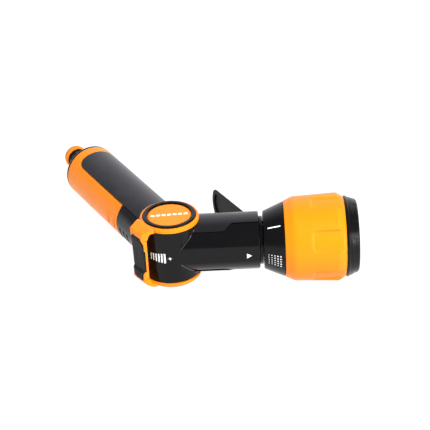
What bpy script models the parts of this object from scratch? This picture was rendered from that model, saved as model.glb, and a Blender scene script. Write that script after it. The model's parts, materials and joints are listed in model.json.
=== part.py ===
"""Pistol-grip garden hose nozzle with a drum flow valve, a front trigger and a six-pattern head.

The nozzle lies on its side.  Every piece is drawn in the frame of the gun itself and hangs from
the empty "gun", which carries the slight tilt at which the head, the drum's lower cap and the
end cap of the handle all touch the ground.

Gun frame: +X runs along the barrel to the spray face, +Z along the drum of the flow valve, and
the handle leaves the drum at HANDLE_ANGLE from +X in the plane z = 0.
"""
from math import cos, pi, radians, sin

import bmesh
import bpy
from mathutils import Euler, Matrix, Vector

MM = 0.001
GAP = 0.3 * MM
MERGE = 0.00001

# ---- lying pose --------------------------------------------------------------------------------
LYING_PITCH = radians(2.741)
LYING_ROLL = radians(1.322)

# ---- barrel, drum and handle -------------------------------------------------------------------
TUBE_RADIUS = 19.2 * MM
COVER_RADIUS = 19.6 * MM
SPINE_RADIUS = 18.9 * MM
NECK_RADIUS = 19.1 * MM
CORE_RADIUS = 17.2 * MM
SPINE_FLAT = 18.1 * MM
BARREL_END = 58.7 * MM
BARREL_BORE = 12.2 * MM
SPIGOT_BORE = 15.8 * MM
DRUM_HALF_HEIGHT = 19.4 * MM
DRUM_BORE = 14.7 * MM
HANDLE_ANGLE = radians(119.1)
HANDLE_END = 123.0 * MM
HANDLE_BORE = 14.4 * MM
SPINE_HALF_REAR = 15.2 * MM
SPINE_HALF_FRONT = 18.3 * MM
SPINE_STEP_START = 36.2 * MM
SPINE_STEP_END = 41.2 * MM
STRIP_HALF = 13.5 * MM
STRIP_START = 44.2 * MM
BAND_START = 115.0 * MM

# ---- flow valve --------------------------------------------------------------------------------
YOKE_RADIUS = 19.9 * MM
YOKE_TOP = 22.8 * MM
YOKE_CHAMFERS = {1: 0.8 * MM, -1: 1.3 * MM}
YOKE_FLOOR = DRUM_HALF_HEIGHT + GAP
YOKE_WEB = 20.6 * MM
HUB_RADIUS = 18.2 * MM
HUB_TOP = 23.7 * MM
DISC_RADIUS = 14.3 * MM
DISC_TOP = 22.9 * MM
LEVER_ANGLE = radians(215.0)
LEVER_REACH = 27.3 * MM
LEVER_HALF = 6.5 * MM
PAD_HALF = 16.6 * MM

# ---- trigger and spool valve -------------------------------------------------------------------
PIVOT_X = 49.0 * MM
PIVOT_Y = 11.5 * MM
PIN_RADIUS = 1.5 * MM
TRIGGER_ANGLE = radians(119.7)
TRIGGER_HALF = 8.8 * MM
TRIGGER_THICK = 2.0 * MM
TRIGGER_LENGTH = 41.5 * MM
TIP_SWEEP = 20 * MM
COLLAR_X = 47.3 * MM

# ---- spray head --------------------------------------------------------------------------------
PATTERNS = 6
HEAD_START = 62.4 * MM
CONE_END = 76.1 * MM
BEZEL_START = 76.5 * MM
BEZEL_WIDEST = 112.8 * MM
BEZEL_END = 117.2 * MM
BEZEL_RADIUS = 30.0 * MM
FLAT_DISTANCE = 28.9 * MM
FLAT_START = 93.0 * MM
FLAT_ANGLE = radians(65.0)
FACE_BACK = 119.0 * MM
FACE_FRONT = 122.4 * MM
RIM_FRONT = 126.0 * MM
PORT_CIRCLE = 9.5 * MM

# ---- hose connector ----------------------------------------------------------------------------
CONNECTOR_TIP = 152.9 * MM
CONNECTOR_BORE = 4.6 * MM
COLLAR_RADIUS = 8.4 * MM

# ---- roundness ---------------------------------------------------------------------------------
FINE = 40
MEDIUM = 22
COARSE = 12

X_AXIS = Euler((0, pi / 2, 0))
Z_AXIS = Euler((0, 0, 0))
HANDLE_AXIS = Euler((0, pi / 2, HANDLE_ANGLE))


# ================================================================================================
# Scene, materials and linking
# ================================================================================================
def clear_scene():
    for old in list(bpy.data.objects):
        bpy.data.objects.remove(old)


def make_collection(name):
    group = bpy.data.collections.new(name)
    bpy.context.scene.collection.children.link(group)
    return group


def make_material(name, colour, roughness, metallic=0.0):
    mat = bpy.data.materials.new(name)
    mat.use_nodes = True
    shader = mat.node_tree.nodes["Principled BSDF"]
    shader.inputs["Base Color"].default_value = (*colour, 1.0)
    shader.inputs["Roughness"].default_value = roughness
    shader.inputs["Metallic"].default_value = metallic
    return mat


def make_empty(name, parent=None, location=(0, 0, 0), rotation=(0, 0, 0)):
    empty = bpy.data.objects.new(name, None)
    empty.location = location
    empty.rotation_euler = rotation
    empty.parent = parent
    PARTS.objects.link(empty)
    return empty


def add_object(name, mesh, parent, location=(0, 0, 0), rotation=(0, 0, 0), material=None):
    """A named piece of the nozzle."""
    obj = bpy.data.objects.new(name, mesh)
    obj.location = location
    obj.rotation_euler = rotation
    obj.parent = parent
    PARTS.objects.link(obj)
    if material:
        obj.data.materials.append(material)
    return obj


def as_cutter(obj):
    """Moves an object to the cutters, which shape pieces and aren't pieces themselves."""
    PARTS.objects.unlink(obj)
    CUTTERS.objects.link(obj)
    obj.hide_render = True
    obj.display_type = "WIRE"
    return obj


def boolean(obj, other, operation="DIFFERENCE"):
    mod = obj.modifiers.new(operation.lower(), "BOOLEAN")
    mod.operation = operation
    mod.solver = "EXACT"
    mod.object = as_cutter(other) if other.name in PARTS.objects else other
    return obj


def cut(obj, *others):
    for other in others:
        boolean(obj, other)
    return obj


def join(obj, *others):
    for other in others:
        boolean(obj, other, "UNION")
    return obj


# ================================================================================================
# Shapes
# ================================================================================================
def clockwise(points):
    """The loop turned so that its outer side is walked from high to low."""
    area = sum(
        a[0] * b[1] - b[0] * a[1] for a, b in zip(points, points[1:] + points[:1])
    )
    return points if area < 0 else points[::-1]


def turned(name, points, parent, steps=MEDIUM, location=(0, 0, 0), rotation=Z_AXIS, material=None):
    """A turned piece.  points are (radius, height) and close on themselves; where the first and
    last lie on the axis, the stretch between them is left out."""
    on_axis = points[0][0] == 0 and points[-1][0] == 0
    if on_axis:
        ordered = points if points[0][1] > points[-1][1] else points[::-1]
    else:
        ordered = clockwise(points)
    mesh = bpy.data.meshes.new(name)
    count = len(ordered)
    edges = [(i, i + 1) for i in range(count - 1)]
    if not on_axis:
        edges.append((count - 1, 0))
    mesh.from_pydata([(r, 0, h) for r, h in ordered], edges, [])
    obj = add_object(name, mesh, parent, location, rotation, material)
    screw = obj.modifiers.new("turn", "SCREW")
    screw.steps = steps
    screw.render_steps = steps
    screw.use_merge_vertices = True
    screw.merge_threshold = MERGE
    screw.use_smooth_shade = False
    return obj


def rod(name, radius, start, end, parent, steps=MEDIUM, **placing):
    """A plain round rod along its local Z."""
    return turned(name, [(0, end), (radius, end), (radius, start), (0, start)], parent, steps, **placing)


def ring(name, inner, outer, start, end, parent, steps=MEDIUM, **placing):
    """A plain round sleeve along its local Z."""
    profile = [(inner, end), (outer, end), (outer, start), (inner, start)]
    return turned(name, profile, parent, steps, **placing)


def o_ring(name, radius, thickness, height, parent, rotation=Z_AXIS, material=None):
    """A seal of round section, drawn with six sides."""
    sides = 6
    half = thickness / 2
    section = [
        (radius + half * cos(2 * pi * i / sides), height + half * sin(2 * pi * i / sides))
        for i in range(sides)
    ]
    return turned(name, section, parent, MEDIUM, rotation=rotation, material=material)


def prism(name, outline, half_depth, parent, location=(0, 0, 0), rotation=(0, 0, 0), material=None,
          rounding=0.0):
    """A flat outline in its local XY plane, thickened both ways along its local Z."""
    curve = bpy.data.curves.new(name, "CURVE")
    curve.dimensions = "2D"
    curve.fill_mode = "BOTH"
    curve.extrude = half_depth
    spline = curve.splines.new("POLY")
    spline.points.add(len(outline) - 1)
    for point, (x, y) in zip(spline.points, outline):
        point.co = (x, y, 0, 1)
    spline.use_cyclic_u = True
    source = bpy.data.objects.new(name + "_outline", curve)
    PARTS.objects.link(source)
    evaluated = source.evaluated_get(bpy.context.evaluated_depsgraph_get())
    mesh = bpy.data.meshes.new_from_object(evaluated)
    bpy.data.objects.remove(source)
    weld_mesh(mesh)
    obj = add_object(name, mesh, parent, location, rotation, material)
    if rounding:
        bevel = obj.modifiers.new("edges", "BEVEL")
        bevel.width = rounding
        bevel.segments = 2
        bevel.limit_method = "ANGLE"
    return obj


def weld_mesh(mesh):
    """Joins loose seams and turns every face outwards."""
    work = bmesh.new()
    work.from_mesh(mesh)
    bmesh.ops.remove_doubles(work, verts=work.verts, dist=MERGE)
    bmesh.ops.recalc_face_normals(work, faces=work.faces)
    work.to_mesh(mesh)
    work.free()


def block(name, low, high, parent, rotation=(0, 0, 0), material=None):
    """A box between two corners."""
    mesh = bpy.data.meshes.new(name)
    work = bmesh.new()
    size = [b - a for a, b in zip(low, high)]
    middle = [(a + b) / 2 for a, b in zip(low, high)]
    place = Matrix.Translation(middle) @ Matrix.Diagonal((*size, 1))
    bmesh.ops.create_cube(work, size=1, matrix=place)
    work.to_mesh(mesh)
    work.free()
    return add_object(name, mesh, parent, rotation=rotation, material=material)


def coil(name, radius, wire, start, end, turns, parent, rotation, material):
    """A helical compression spring along its local Z."""
    per_turn = 10
    count = turns * per_turn
    curve = bpy.data.curves.new(name, "CURVE")
    curve.dimensions = "3D"
    curve.bevel_depth = wire / 2
    curve.bevel_resolution = 1
    curve.use_fill_caps = True
    spline = curve.splines.new("POLY")
    spline.points.add(count)
    for i, point in enumerate(spline.points):
        angle = 2 * pi * i / per_turn
        height = start + wire / 2 + (end - start - wire) * i / count
        point.co = (radius * cos(angle), radius * sin(angle), height, 1)
    return add_object(name, curve, parent, rotation=rotation, material=material)


def polar(radius, angle, height=0.0):
    return Vector((radius * cos(angle), radius * sin(angle), height))


# ================================================================================================
# Housing: drum, barrel and handle core in one moulding, with the covers around it
# ================================================================================================
FAR = 60 * MM


def spine_outline(grow):
    """Side view (x, z) of the part of the barrel that the trigger-side cover leaves bare."""
    rear = SPINE_HALF_REAR + grow
    front = SPINE_HALF_FRONT + grow
    upper = [
        (-FAR, rear),
        (SPINE_STEP_START - grow, rear),
        (SPINE_STEP_END - grow, front),
        (BARREL_END + FAR, front),
    ]
    return upper + [(x, -z) for x, z in reversed(upper)]


def spine_prism(name, grow):
    """The bare part of the barrel as a cutter that fills the side y < 0."""
    return as_cutter(
        prism(name, spine_outline(grow), FAR / 2, GUN, location=(0, -FAR / 2, 0), rotation=(pi / 2, 0, 0))
    )


def strip_outline(grow, start):
    """Side view (s, z) of the hard back strip of the handle, widening into the end band."""
    edge = STRIP_HALF + grow
    upper = [
        (start, edge),
        (BAND_START - 9 * MM, edge),
        (BAND_START - 5 * MM, edge + 0.9 * MM),
        (BAND_START - 1.7 * MM, edge + 3.3 * MM),
        (BAND_START - 0.2 * MM, edge + 5.6 * MM),
        (BAND_START + FAR, edge + 5.6 * MM),
    ]
    return upper + [(s, -z) for s, z in reversed(upper)]


def strip_prism(name, grow, start=-FAR):
    """The back strip as a cutter that fills the outer side of the handle."""
    side = HANDLE_ANGLE + pi / 2
    return as_cutter(
        prism(
            name,
            strip_outline(grow, start),
            FAR / 2,
            GUN,
            location=polar(FAR / 2, side),
            rotation=(pi / 2, 0, HANDLE_ANGLE),
        )
    )


def half_space(name, angle, side, offset):
    """A cutter block beyond the upright plane through the drum's axis at the given angle."""
    low, high = (offset, 3 * FAR) if side > 0 else (-3 * FAR, -offset)
    return as_cutter(
        block(name, (-3 * FAR, low, -FAR), (3 * FAR, high, FAR), GUN, rotation=(0, 0, angle))
    )


def barrel_pocket():
    """What is cut from the barrel to seat its cover."""
    pocket = ring("barrel_pocket", CORE_RADIUS, FAR, 0, BARREL_END + FAR, GUN, MEDIUM, rotation=X_AXIS)
    return cut(as_cutter(pocket), spine_prism("bare_barrel", 0))


def handle_pocket():
    """What is cut from the handle to seat the grip and the hard back strip."""
    pocket = ring("handle_pocket", CORE_RADIUS, FAR, 0, HANDLE_END + FAR, GUN, MEDIUM, rotation=HANDLE_AXIS)
    neck = strip_prism("bare_neck", 0)
    beyond = block(
        "beyond_neck", (STRIP_START - GAP, -FAR, -FAR), (3 * FAR, FAR, FAR), GUN,
        rotation=(0, 0, HANDLE_ANGLE),
    )
    return cut(as_cutter(pocket), cut(neck, beyond))


def neck_grooves(obj):
    """Three grooves across the back of the neck, below the hard strip."""
    for i in range(3):
        start = (29.0 + 5.2 * i) * MM
        groove = ring(
            f"neck_groove_{i}", TUBE_RADIUS - 0.9 * MM, FAR, start, start + 1.3 * MM, GUN, MEDIUM,
            rotation=HANDLE_AXIS,
        )
        keep = block(
            f"neck_groove_end_{i}", (-FAR, -3 * FAR, -3 * FAR), (3 * FAR, TUBE_RADIUS * 0.8, 3 * FAR), GUN,
            rotation=(0, 0, HANDLE_ANGLE),
        )
        cut(obj, cut(as_cutter(groove), keep))
    return obj


def main_housing():
    """Drum, barrel and handle core, moulded as one hollow body."""
    body = rod("main_housing", TUBE_RADIUS, -DRUM_HALF_HEIGHT, DRUM_HALF_HEIGHT, GUN, FINE, material=GLOSS)
    barrel = rod("barrel_solid", SPINE_RADIUS, 0, BARREL_END, GUN, FINE, rotation=X_AXIS)
    flat = block("spine_flat", (-FAR, -FAR, -FAR), (3 * FAR, -SPINE_FLAT, FAR), GUN)
    handle = rod("handle_solid", NECK_RADIUS, 0, HANDLE_END - 0.5 * MM, GUN, FINE, rotation=HANDLE_AXIS)
    cut(barrel, flat, barrel_pocket())
    neck_grooves(cut(handle, handle_pocket()))
    join(body, barrel, handle)
    cut(
        body,
        rod("drum_bore", DRUM_BORE, -FAR, FAR, GUN, FINE),
        rod("barrel_bore", BARREL_BORE, 0, BARREL_END + FAR, GUN, MEDIUM, rotation=X_AXIS),
        rod("spigot_seat", SPIGOT_BORE, 54 * MM, BARREL_END + FAR, GUN, FINE, rotation=X_AXIS),
        rod("handle_bore", HANDLE_BORE, 24 * MM, HANDLE_END + FAR, GUN, MEDIUM, rotation=HANDLE_AXIS),
        rod("water_port", 6.3 * MM, 0, 30 * MM, GUN, MEDIUM, rotation=HANDLE_AXIS),
        trigger_slot("housing_slot", 0),
        pivot_hole(),
    )
    return body


def trigger_slot(name, grow):
    """The slot on the trigger side that the trigger's arms pass through."""
    low = (42.2 * MM - grow, 4 * MM, -8.3 * MM - grow)
    high = (55.5 * MM + grow, FAR, 8.3 * MM + grow)
    return as_cutter(block(name, low, high, GUN))


def pivot_hole():
    spot = (PIVOT_X, PIVOT_Y, 0)
    return rod("pivot_hole", PIN_RADIUS + GAP, -10.4 * MM, 10.4 * MM, GUN, COARSE, location=spot)


def barrel_cover():
    """Soft-touch cover over the trigger side of the barrel."""
    cover = ring(
        "barrel_cover", CORE_RADIUS + GAP, COVER_RADIUS, 2 * MM, BARREL_END - 0.2 * MM, GUN, FINE,
        rotation=X_AXIS, material=SATIN,
    )
    return cut(
        cover,
        spine_prism("cover_window", GAP),
        rod("cover_drum_clearance", TUBE_RADIUS + GAP, -FAR, FAR, GUN, FINE),
        half_space("cover_mitre", HANDLE_ANGLE / 2, 1, -GAP / 2),
        trigger_slot("cover_slot", 0.7 * MM),
    )


def grip_overmold():
    """Soft grip around the front and both flanks of the handle."""
    grip = ring(
        "grip_overmold", CORE_RADIUS + GAP, TUBE_RADIUS, 2 * MM, BAND_START - GAP, GUN, FINE,
        rotation=HANDLE_AXIS, material=GRIP,
    )
    return cut(
        grip,
        strip_prism("grip_window", GAP),
        rod("grip_drum_clearance", TUBE_RADIUS + GAP, -FAR, FAR, GUN, FINE),
        half_space("grip_mitre", HANDLE_ANGLE / 2, -1, -GAP / 2),
    )


def handle_back_cover():
    """Hard orange strip down the back of the handle, ending in a band right round it."""
    cover = ring(
        "handle_back_cover", CORE_RADIUS + GAP, TUBE_RADIUS, STRIP_START, HANDLE_END, GUN, FINE,
        rotation=HANDLE_AXIS, material=ORANGE,
    )
    grip_space = block(
        "grip_space", (-FAR, -FAR, -FAR), (BAND_START, FAR, FAR), GUN, rotation=(0, 0, HANDLE_ANGLE)
    )
    cut(cover, cut(as_cutter(grip_space), strip_prism("strip_kept", 0)))
    for i, place in enumerate((48.0 * MM, 57.0 * MM)):
        rib = ring(
            f"strip_rib_{i}", CORE_RADIUS + 1 * MM, TUBE_RADIUS + 0.6 * MM, place, place + 1.4 * MM, GUN, FINE,
            rotation=HANDLE_AXIS,
        )
        wings = block(
            f"strip_rib_end_{i}", (-FAR, -3 * FAR, -FAR), (3 * FAR, TUBE_RADIUS * cos(radians(17)), FAR), GUN,
            rotation=(0, 0, HANDLE_ANGLE),
        )
        join(cover, cut(as_cutter(rib), wings))
    return cover


def end_cap():
    """Flange that closes the handle and holds the hose connector."""
    profile = [
        (9.3 * MM, 112 * MM),
        (HANDLE_BORE - GAP, 112 * MM),
        (HANDLE_BORE - GAP, HANDLE_END + GAP),
        (TUBE_RADIUS - 0.4 * MM, HANDLE_END + GAP),
        (TUBE_RADIUS, HANDLE_END + 0.9 * MM),
        (TUBE_RADIUS, HANDLE_END + 2.2 * MM),
        (TUBE_RADIUS - 1.4 * MM, HANDLE_END + 3.6 * MM),
        (9.3 * MM, HANDLE_END + 4.0 * MM),
    ]
    return turned("end_cap", profile, GUN, FINE, rotation=HANDLE_AXIS, material=GLOSS)


# ================================================================================================
# Hose connector and water path in the handle
# ================================================================================================
def hose_connector():
    """Male quick connector, with a stepped shank that screws into the end cap."""
    profile = [
        (CONNECTOR_BORE, 112.5 * MM),
        (9.0 * MM, 112.5 * MM),
        (9.0 * MM, 127.2 * MM),
        (9.6 * MM, 127.4 * MM),
        (9.6 * MM, 129.4 * MM),
        (7.3 * MM, 130.2 * MM),
        (7.3 * MM, 147.4 * MM),
        (6.6 * MM, 147.8 * MM),
        (6.6 * MM, CONNECTOR_TIP),
        (CONNECTOR_BORE, CONNECTOR_TIP),
    ]
    return turned("hose_connector", profile, GUN, MEDIUM, rotation=HANDLE_AXIS, material=GLOSS)


def connector_collar():
    profile = [
        (6.9 * MM, 148.1 * MM),
        (7.8 * MM, 148.1 * MM),
        (COLLAR_RADIUS, 148.7 * MM),
        (COLLAR_RADIUS, 151.0 * MM),
        (7.9 * MM, 151.5 * MM),
        (6.9 * MM, 151.5 * MM),
    ]
    return turned("connector_collar", profile, GUN, MEDIUM, rotation=HANDLE_AXIS, material=ORANGE)


def water_tube():
    """Tube that carries the water from the connector to the drum."""
    profile = [
        (4.6 * MM, 17.5 * MM),
        (6.0 * MM, 17.5 * MM),
        (6.0 * MM, 106 * MM),
        (8.2 * MM, 108 * MM),
        (8.2 * MM, 112.2 * MM),
        (6.6 * MM, 112.2 * MM),
        (4.6 * MM, 109 * MM),
    ]
    return turned("water_tube", profile, GUN, COARSE, rotation=HANDLE_AXIS, material=CORE)


def inlet_filter():
    """Perforated disc that keeps grit out of the valve."""
    disc = rod(
        "inlet_filter", 4.3 * MM, 125.0 * MM, 126.0 * MM, GUN, COARSE, rotation=HANDLE_AXIS, material=STEEL
    )
    for i in range(PATTERNS):
        spot = polar(2.6 * MM, 2 * pi * i / PATTERNS, 125.5 * MM)
        hole = rod(f"filter_hole_{i}", 0.8 * MM, -2 * MM, 2 * MM, disc, 8, location=spot)
        cut(disc, hole)
    return disc


# ================================================================================================
# Flow valve: rotor, yoke with its thumb lever, hubs and caps; all turn together about the drum
# ================================================================================================
def flow_rotor():
    """Plug that turns in the drum; its bore links the handle to the barrel."""
    boss = 4.7 * MM
    half = [(boss, YOKE_WEB - 0.2 * MM), (boss, DRUM_HALF_HEIGHT), (DRUM_BORE - GAP, DRUM_HALF_HEIGHT)]
    groove_top = 15.9 * MM
    groove_bottom = 13.7 * MM
    groove = [
        (DRUM_BORE - GAP, groove_top),
        (DRUM_BORE - 2.2 * MM, groove_top),
        (DRUM_BORE - 2.2 * MM, groove_bottom),
        (DRUM_BORE - GAP, groove_bottom),
    ]
    upper = half + groove
    lower = [(r, -h) for r, h in reversed(upper)]
    profile = [(0, YOKE_WEB - 0.2 * MM)] + upper + lower + [(0, 0.2 * MM - YOKE_WEB)]
    rotor = turned("flow_rotor", profile, LEVER, MEDIUM, material=CORE)
    return cut(
        rotor,
        rod("rotor_barrel_port", 6.2 * MM, -2 * MM, FAR, LEVER, COARSE, rotation=X_AXIS),
        rod("rotor_handle_port", 6.2 * MM, -2 * MM, FAR, LEVER, COARSE, rotation=HANDLE_AXIS),
        rod("rotor_screw_hole", 1.7 * MM, -FAR, FAR, LEVER, COARSE),
    )


def yoke_ring(name, side):
    """One end ring of the yoke: a rim around the hub and a web keyed to the rotor."""
    chamfer = YOKE_CHAMFERS[side]
    levels = [
        (5.0 * MM, YOKE_FLOOR),
        (YOKE_RADIUS, YOKE_FLOOR),
        (YOKE_RADIUS, YOKE_TOP - chamfer),
        (YOKE_RADIUS - chamfer, YOKE_TOP),
        (HUB_RADIUS + GAP, YOKE_TOP),
        (HUB_RADIUS + GAP, YOKE_WEB),
        (5.0 * MM, YOKE_WEB),
    ]
    return turned(name, [(r, side * h) for r, h in levels], LEVER, FINE, material=ORANGE)


def lever_arm():
    """C-shaped arm from one ring to the other: its side view, trimmed to its plan."""
    pocket = LEVER_REACH - 1.3 * MM
    inner = 23.2 * MM
    upper = [
        (18.6 * MM, YOKE_FLOOR),
        (18.6 * MM, YOKE_TOP),
        (20.8 * MM, YOKE_TOP),
        (LEVER_REACH, 20.2 * MM),
        (LEVER_REACH, PAD_HALF + GAP),
        (pocket, PAD_HALF + GAP),
    ]
    lower = [
        (pocket, -PAD_HALF - GAP),
        (LEVER_REACH, -PAD_HALF - GAP),
        (LEVER_REACH - 0.7 * MM, -18.6 * MM),
        (21.6 * MM, 0.9 * MM - YOKE_TOP),
        (18.6 * MM, 0.9 * MM - YOKE_TOP),
        (18.6 * MM, -YOKE_FLOOR),
    ]
    inside = [
        (21.4 * MM, -YOKE_FLOOR),
        (inner, 3 * MM - YOKE_FLOOR),
        (inner, YOKE_FLOOR - 3 * MM),
        (21.4 * MM, YOKE_FLOOR),
    ]
    section = upper + lower + inside
    arm = prism("lever_arm", section, 12 * MM, LEVER, rotation=(pi / 2, 0, LEVER_ANGLE))
    plan = [
        (16 * MM, -10.1 * MM),
        (LEVER_REACH + 2 * MM, -LEVER_HALF + 0.6 * MM),
        (LEVER_REACH + 2 * MM, LEVER_HALF - 0.6 * MM),
        (16 * MM, 10.1 * MM),
    ]
    boolean(arm, prism("lever_plan", plan, FAR, LEVER, rotation=(0, 0, LEVER_ANGLE)), "INTERSECT")
    for side in (-1, 1):
        edges = sorted((side * LEVER_HALF, side * FAR))
        window = block(
            f"lever_window_{side}", (0, edges[0], -15.5 * MM), (FAR, edges[1], 15.5 * MM), LEVER,
            rotation=(0, 0, LEVER_ANGLE),
        )
        cut(arm, window)
    return arm


def flow_yoke():
    """Orange yoke: two rings joined by the arm that the thumb pushes."""
    return join(yoke_ring("flow_yoke", 1), yoke_ring("lower_yoke_ring", -1), lever_arm())


def thumb_pad():
    """Rubber pad on the lever's outer face, with a groove and a raised foot."""
    back = LEVER_REACH - 1.3 * MM + GAP
    front = LEVER_REACH + 0.5 * MM
    section = [
        (back, -PAD_HALF),
        (front - 0.4 * MM, -PAD_HALF),
        (front + 0.4 * MM, -14.4 * MM),
        (front + 0.4 * MM, -9.8 * MM),
        (front - 0.7 * MM, -8.4 * MM),
        (front, -6.8 * MM),
        (front, 14.6 * MM),
        (front - 1.0 * MM, PAD_HALF),
        (back, PAD_HALF),
    ]
    return prism(
        "thumb_pad", section, LEVER_HALF - 0.6 * MM, LEVER, rotation=(pi / 2, 0, LEVER_ANGLE), material=RUBBER
    )


def hub(name, side):
    """Black hub that clamps a yoke ring to the rotor and carries the cap disc."""
    levels = [
        (1.9 * MM, YOKE_WEB + GAP),
        (HUB_RADIUS, YOKE_WEB + GAP),
        (HUB_RADIUS, HUB_TOP - 0.5 * MM),
        (HUB_RADIUS - 0.5 * MM, HUB_TOP),
        (DISC_RADIUS + GAP, HUB_TOP),
        (DISC_RADIUS + GAP, YOKE_WEB + 1.3 * MM),
        (4.0 * MM, YOKE_WEB + 1.3 * MM),
        (4.0 * MM, YOKE_WEB + 0.9 * MM),
        (1.9 * MM, YOKE_WEB + 0.9 * MM),
    ]
    return turned(name, [(r, side * h) for r, h in levels], LEVER, FINE, material=GLOSS)


def cap_disc(name, side):
    """Orange disc that hides the hub screw."""
    floor = YOKE_WEB + 1.6 * MM
    profile = [
        (0, DISC_TOP),
        (DISC_RADIUS - 0.5 * MM, DISC_TOP),
        (DISC_RADIUS, DISC_TOP - 0.5 * MM),
        (DISC_RADIUS, floor),
        (4.0 * MM, floor),
        (4.0 * MM, floor + 0.5 * MM),
        (0, floor + 0.5 * MM),
    ]
    return turned(name, [(r, side * h) for r, h in profile], LEVER, FINE, material=ORANGE)


def hub_screw(name, side):
    """Screw from the hub into the rotor."""
    head = YOKE_WEB + 1.2 * MM
    profile = [
        (0, head + 0.7 * MM),
        (3.4 * MM, head + 0.7 * MM),
        (3.4 * MM, head),
        (1.4 * MM, head),
        (1.4 * MM, 9 * MM),
        (0, 8.2 * MM),
    ]
    return turned(name, [(r, side * h) for r, h in profile], LEVER, COARSE, material=STEEL)


# ================================================================================================
# Trigger and the spool valve that it pushes
# ================================================================================================
def trigger():
    """Finger paddle with two arms that straddle the valve stem; drawn about its own pivot."""
    start = Vector((2.5 * MM, 3.0 * MM))
    along = Vector((cos(TRIGGER_ANGLE), sin(TRIGGER_ANGLE)))
    across = Vector((along.y, -along.x))
    root = Vector((50.9 * MM - PIVOT_X, 21.5 * MM - PIVOT_Y))
    tip = root + along * TRIGGER_LENGTH
    back_root = root - across * TRIGGER_THICK
    back_tip = tip - across * TRIGGER_THICK
    arm = [
        start,
        root,
        tip,
        back_tip,
        back_root,
        Vector((-2.6 * MM, 2.4 * MM)),
        Vector((-4.9 * MM, -10.3 * MM)),
        Vector((-4.9 * MM, -12.5 * MM)),
        Vector((-3.6 * MM, -13.3 * MM)),
        Vector((-2.3 * MM, -12.7 * MM)),
        Vector((-2.0 * MM, -11.1 * MM)),
        Vector((-2.0 * MM, -5.2 * MM)),
        Vector((1.6 * MM, -2.0 * MM)),
        Vector((3.2 * MM, 0)),
    ]
    paddle = prism("trigger", [tuple(p) for p in arm], TRIGGER_HALF, PULL, material=SATIN)
    inner_end = block("trigger_inner", (-FAR, -FAR, 7.9 * MM), (FAR, 7.2 * MM, FAR), PULL)
    outer_end = block("trigger_outer", (-FAR, -FAR, -FAR), (FAR, 7.2 * MM, -7.9 * MM), PULL)
    fork = block("fork_gap", (-FAR, -FAR, -5.6 * MM), (FAR, -3.2 * MM, 5.6 * MM), PULL)
    hole = rod("trigger_hole", PIN_RADIUS + GAP, -FAR, FAR, PULL, COARSE)
    cut(paddle, inner_end, outer_end, fork, hole)
    return trim_tip(paddle, tip - across * TRIGGER_THICK / 2, along)


def trim_tip(paddle, tip, along):
    """Rounds the free end of the paddle to an arc."""
    hollow = ring("tip_arc", TIP_SWEEP, FAR, -FAR, FAR, PULL, FINE)
    hollow.rotation_euler = (pi / 2, 0, TRIGGER_ANGLE + pi)
    hollow.location = (*(tip - along * (TIP_SWEEP + 0.2 * MM)), 0)
    inner = block("tip_kept", (-3 * FAR, -FAR, -FAR), (0, FAR, FAR), PULL)
    inner.rotation_euler = (0, 0, TRIGGER_ANGLE)
    inner.location = (*(tip - along * TIP_SWEEP), 0)
    return cut(paddle, cut(as_cutter(hollow), inner))


def trigger_pin():
    return rod(
        "trigger_pin", PIN_RADIUS, -10.1 * MM, 10.1 * MM, GUN, COARSE,
        location=(PIVOT_X, PIVOT_Y, 0), material=STEEL,
    )


def valve_sleeve():
    """Sleeve in the barrel with the wet chamber behind and the stem's guide in front."""
    profile = [
        (5.5 * MM, 41.6 * MM),
        (5.5 * MM, 39.9 * MM),
        (6.6 * MM, 39.9 * MM),
        (6.6 * MM, 37.9 * MM),
        (5.5 * MM, 37.9 * MM),
        (5.5 * MM, 36.2 * MM),
        (9.6 * MM, 36.2 * MM),
        (9.6 * MM, 20.5 * MM),
        (BARREL_BORE - GAP, 20.5 * MM),
        (BARREL_BORE - GAP, 41.6 * MM),
    ]
    return turned("valve_sleeve", profile, GUN, MEDIUM, rotation=X_AXIS, material=CORE)


def valve_seat():
    profile = [(4.8 * MM, 20.8 * MM), (9.3 * MM, 20.8 * MM), (9.3 * MM, 22.6 * MM), (4.8 * MM, 23.4 * MM)]
    return turned("valve_seat", profile, GUN, MEDIUM, rotation=X_AXIS, material=BRASS)


def valve_stem():
    """Hollow stem: poppet at the rear, collar for the trigger, open nose in the spigot."""
    profile = [
        (0, 25.4 * MM),
        (7.0 * MM, 25.4 * MM),
        (7.0 * MM, 27.2 * MM),
        (5.0 * MM, 28.2 * MM),
        (5.0 * MM, COLLAR_X),
        (8.0 * MM, COLLAR_X),
        (8.0 * MM, COLLAR_X + 2 * MM),
        (5.0 * MM, COLLAR_X + 2 * MM),
        (5.0 * MM, 70 * MM),
        (3.2 * MM, 70 * MM),
        (3.2 * MM, 28.4 * MM),
        (0, 28.4 * MM),
    ]
    stem = turned("valve_stem", profile[::-1], STEM, COARSE, rotation=X_AXIS, material=BRASS)
    for i in range(2):
        port = rod(f"stem_port_{i}", 1.4 * MM, -FAR, FAR, STEM, 10, location=(30.6 * MM, 0, 0))
        port.rotation_euler = (i * pi / 2, 0, 0)
        cut(stem, port)
    return stem


def stem_seal():
    profile = [(0, 25.1 * MM), (6.8 * MM, 25.1 * MM), (6.8 * MM, 23.8 * MM), (0, 23.8 * MM)]
    return turned("stem_seal", profile, STEM, COARSE, rotation=X_AXIS, material=RUBBER)


def valve_spring():
    spring = coil("valve_spring", 6.6 * MM, 1.0 * MM, 49.7 * MM, 65.1 * MM, 5, GUN, X_AXIS, STEEL)
    return spring


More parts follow.
